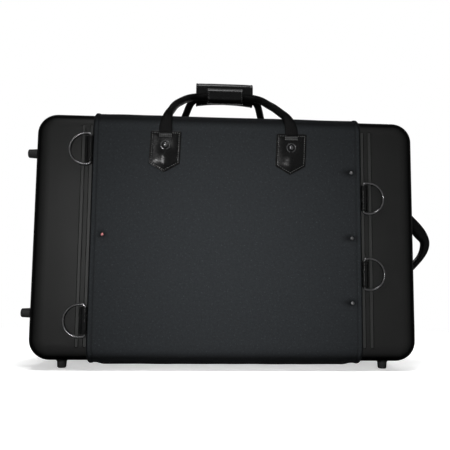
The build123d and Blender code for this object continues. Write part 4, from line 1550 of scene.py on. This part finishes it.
# A flat pocket for sheet music is sewn to the lid's fabric. It is the same cloth over thin foam,
# with piping round its face and a zip across near the top.
pocket_low, pocket_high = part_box("music_pocket")
pocket_front = pocket_high.y
pocket_corners = [
    (pocket_low.x, pocket_low.z), (pocket_high.x, pocket_low.z),
    (pocket_high.x, pocket_high.z), (pocket_low.x, pocket_high.z),
]
pocket_radii = [0.022] * 4
# How far in from the edge, and how far behind the pocket's face.
pocket_profile = [
    (0.0, pocket_front - half_depth - cloth), (0.0, 0.008), (0.0, 0.0045), (0.0008, 0.0022),
    (0.0022, 0.0008),
]
pocket_profile += [
    (inset, 0.0)
    for inset in (0.0045, 0.008, 0.013, 0.019, 0.026, 0.036, 0.05, 0.066, 0.083, 0.1, 0.113)
]
pocket_fullness, pocket_rumple, pocket_flat, pocket_ease = 0.003, 0.0014, 0.008, 0.05
pocket_zip_low, pocket_zip_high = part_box("pocket_zip")
pocket_zip_z = (pocket_zip_low.z + pocket_zip_high.z) / 2
tape_end, tape_half, tape_proud, tape_wall = 0.004, 0.0085, 0.00045, 0.0008
pocket_zip_half = pocket_zip_high.x - tape_end
piping_inset, piping_radius, piping_sunk = 0.0028, 0.0013, 0.0006
pocket_tooth_pitch, pocket_tooth_size = tooth_pitch * 0.8, (0.0012, 0.0009, 0.0029)
pocket_tooth_row, pocket_seam_row = 0.0012, 0.007


def pocket_face(x, z, inset):
    """How far the face stands out: flat at the zip, full and a little rumpled away from it."""
    full = soft_step((inset - pocket_flat) / pocket_ease)
    full *= soft_step(abs(z - pocket_zip_z) / pocket_ease - 0.3)
    rumple = noise.noise(Vector((x * 14, z * 14, 4.4))) + 0.5 * noise.noise(Vector((x * 38, z * 30, 8.1)))
    return full * (pocket_fullness + rumple * pocket_rumple)


def across_pocket(half_length, proud, *heights):
    """Straight lines across the pocket's face, at these heights from the middle of its zip."""
    return [
        [(end * half_length, pocket_front + proud, pocket_zip_z + height) for end in (-1, 1)]
        for height in heights
    ]


pocket_points, pocket_uvs = [], []
for inset, behind in pocket_profile:
    ring = rounded_outline(pocket_corners, pocket_radii, inset, 8, 30)
    pocket_points.append([(x, pocket_front - behind + pocket_face(x, z, inset), z) for x, z in ring])
    pocket_uvs.append([(x + behind, z + behind) for x, z in ring + ring[:1]])
pocket = grid_piece("pocket_fabric", pocket_points, pocket_uvs, charcoal_cloth, ring=True, capped=True)
finish_piece(pocket, "lid", "woven_cover", "music_pocket")
piping_ring = rounded_outline(pocket_corners, pocket_radii, piping_inset, 10, 20)
piping_line = [
    (x, pocket_front - piping_sunk, z, piping_radius, piping_radius)
    for x, z in piping_ring + piping_ring[:1]
]
piping = swept("pocket_piping", piping_line, (0, 1, 0), glazed_leather, around=10, closed=True)
finish_piece(piping, "lid", "black_leather")

tape_points, tape_uvs = [], []
for x in spaced([
    (-pocket_zip_half - tape_end, 0.0005), (-pocket_zip_half, 0.006), (pocket_zip_half, 0.0005),
    (pocket_zip_half + tape_end, 0.001),
]):
    row = []
    for across in (-1, -0.96, -0.5, -0.3, 0.3, 0.5, 0.96, 1):
        proud = tape_proud - 0.0004 * (abs(across) == 1)
        row.append((x, pocket_front + proud, pocket_zip_z + across * tape_half))
    tape_points.append(row)
    tape_uvs.append([(p[0], p[2]) for p in row])
pocket_tape = thicken(grid_piece("pocket_zip_tape", tape_points, tape_uvs, hinge_twill), -tape_wall)
finish_piece(pocket_tape, "lid", "zip_coil", "pocket_zip")
pocket_rows = across_pocket(pocket_zip_half - 0.004, 0.0003, -pocket_tooth_row, pocket_tooth_row)
pocket_teeth = beaded("pocket_zip_teeth", pocket_rows, nylon, pocket_tooth_pitch, pocket_tooth_size)
finish_piece(pocket_teeth, "lid", "zip_coil")
pocket_seams = across_pocket(pocket_zip_half, 0.0005, -pocket_seam_row, pocket_seam_row)
finish_piece(stitched("pocket_stitches", pocket_seams, black_thread), "lid", "woven_cover")

size_lines = [list(corner) for corner in (cad_low, cad_high, *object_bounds())]
"\n".join(str(corner) for corner in size_lines)
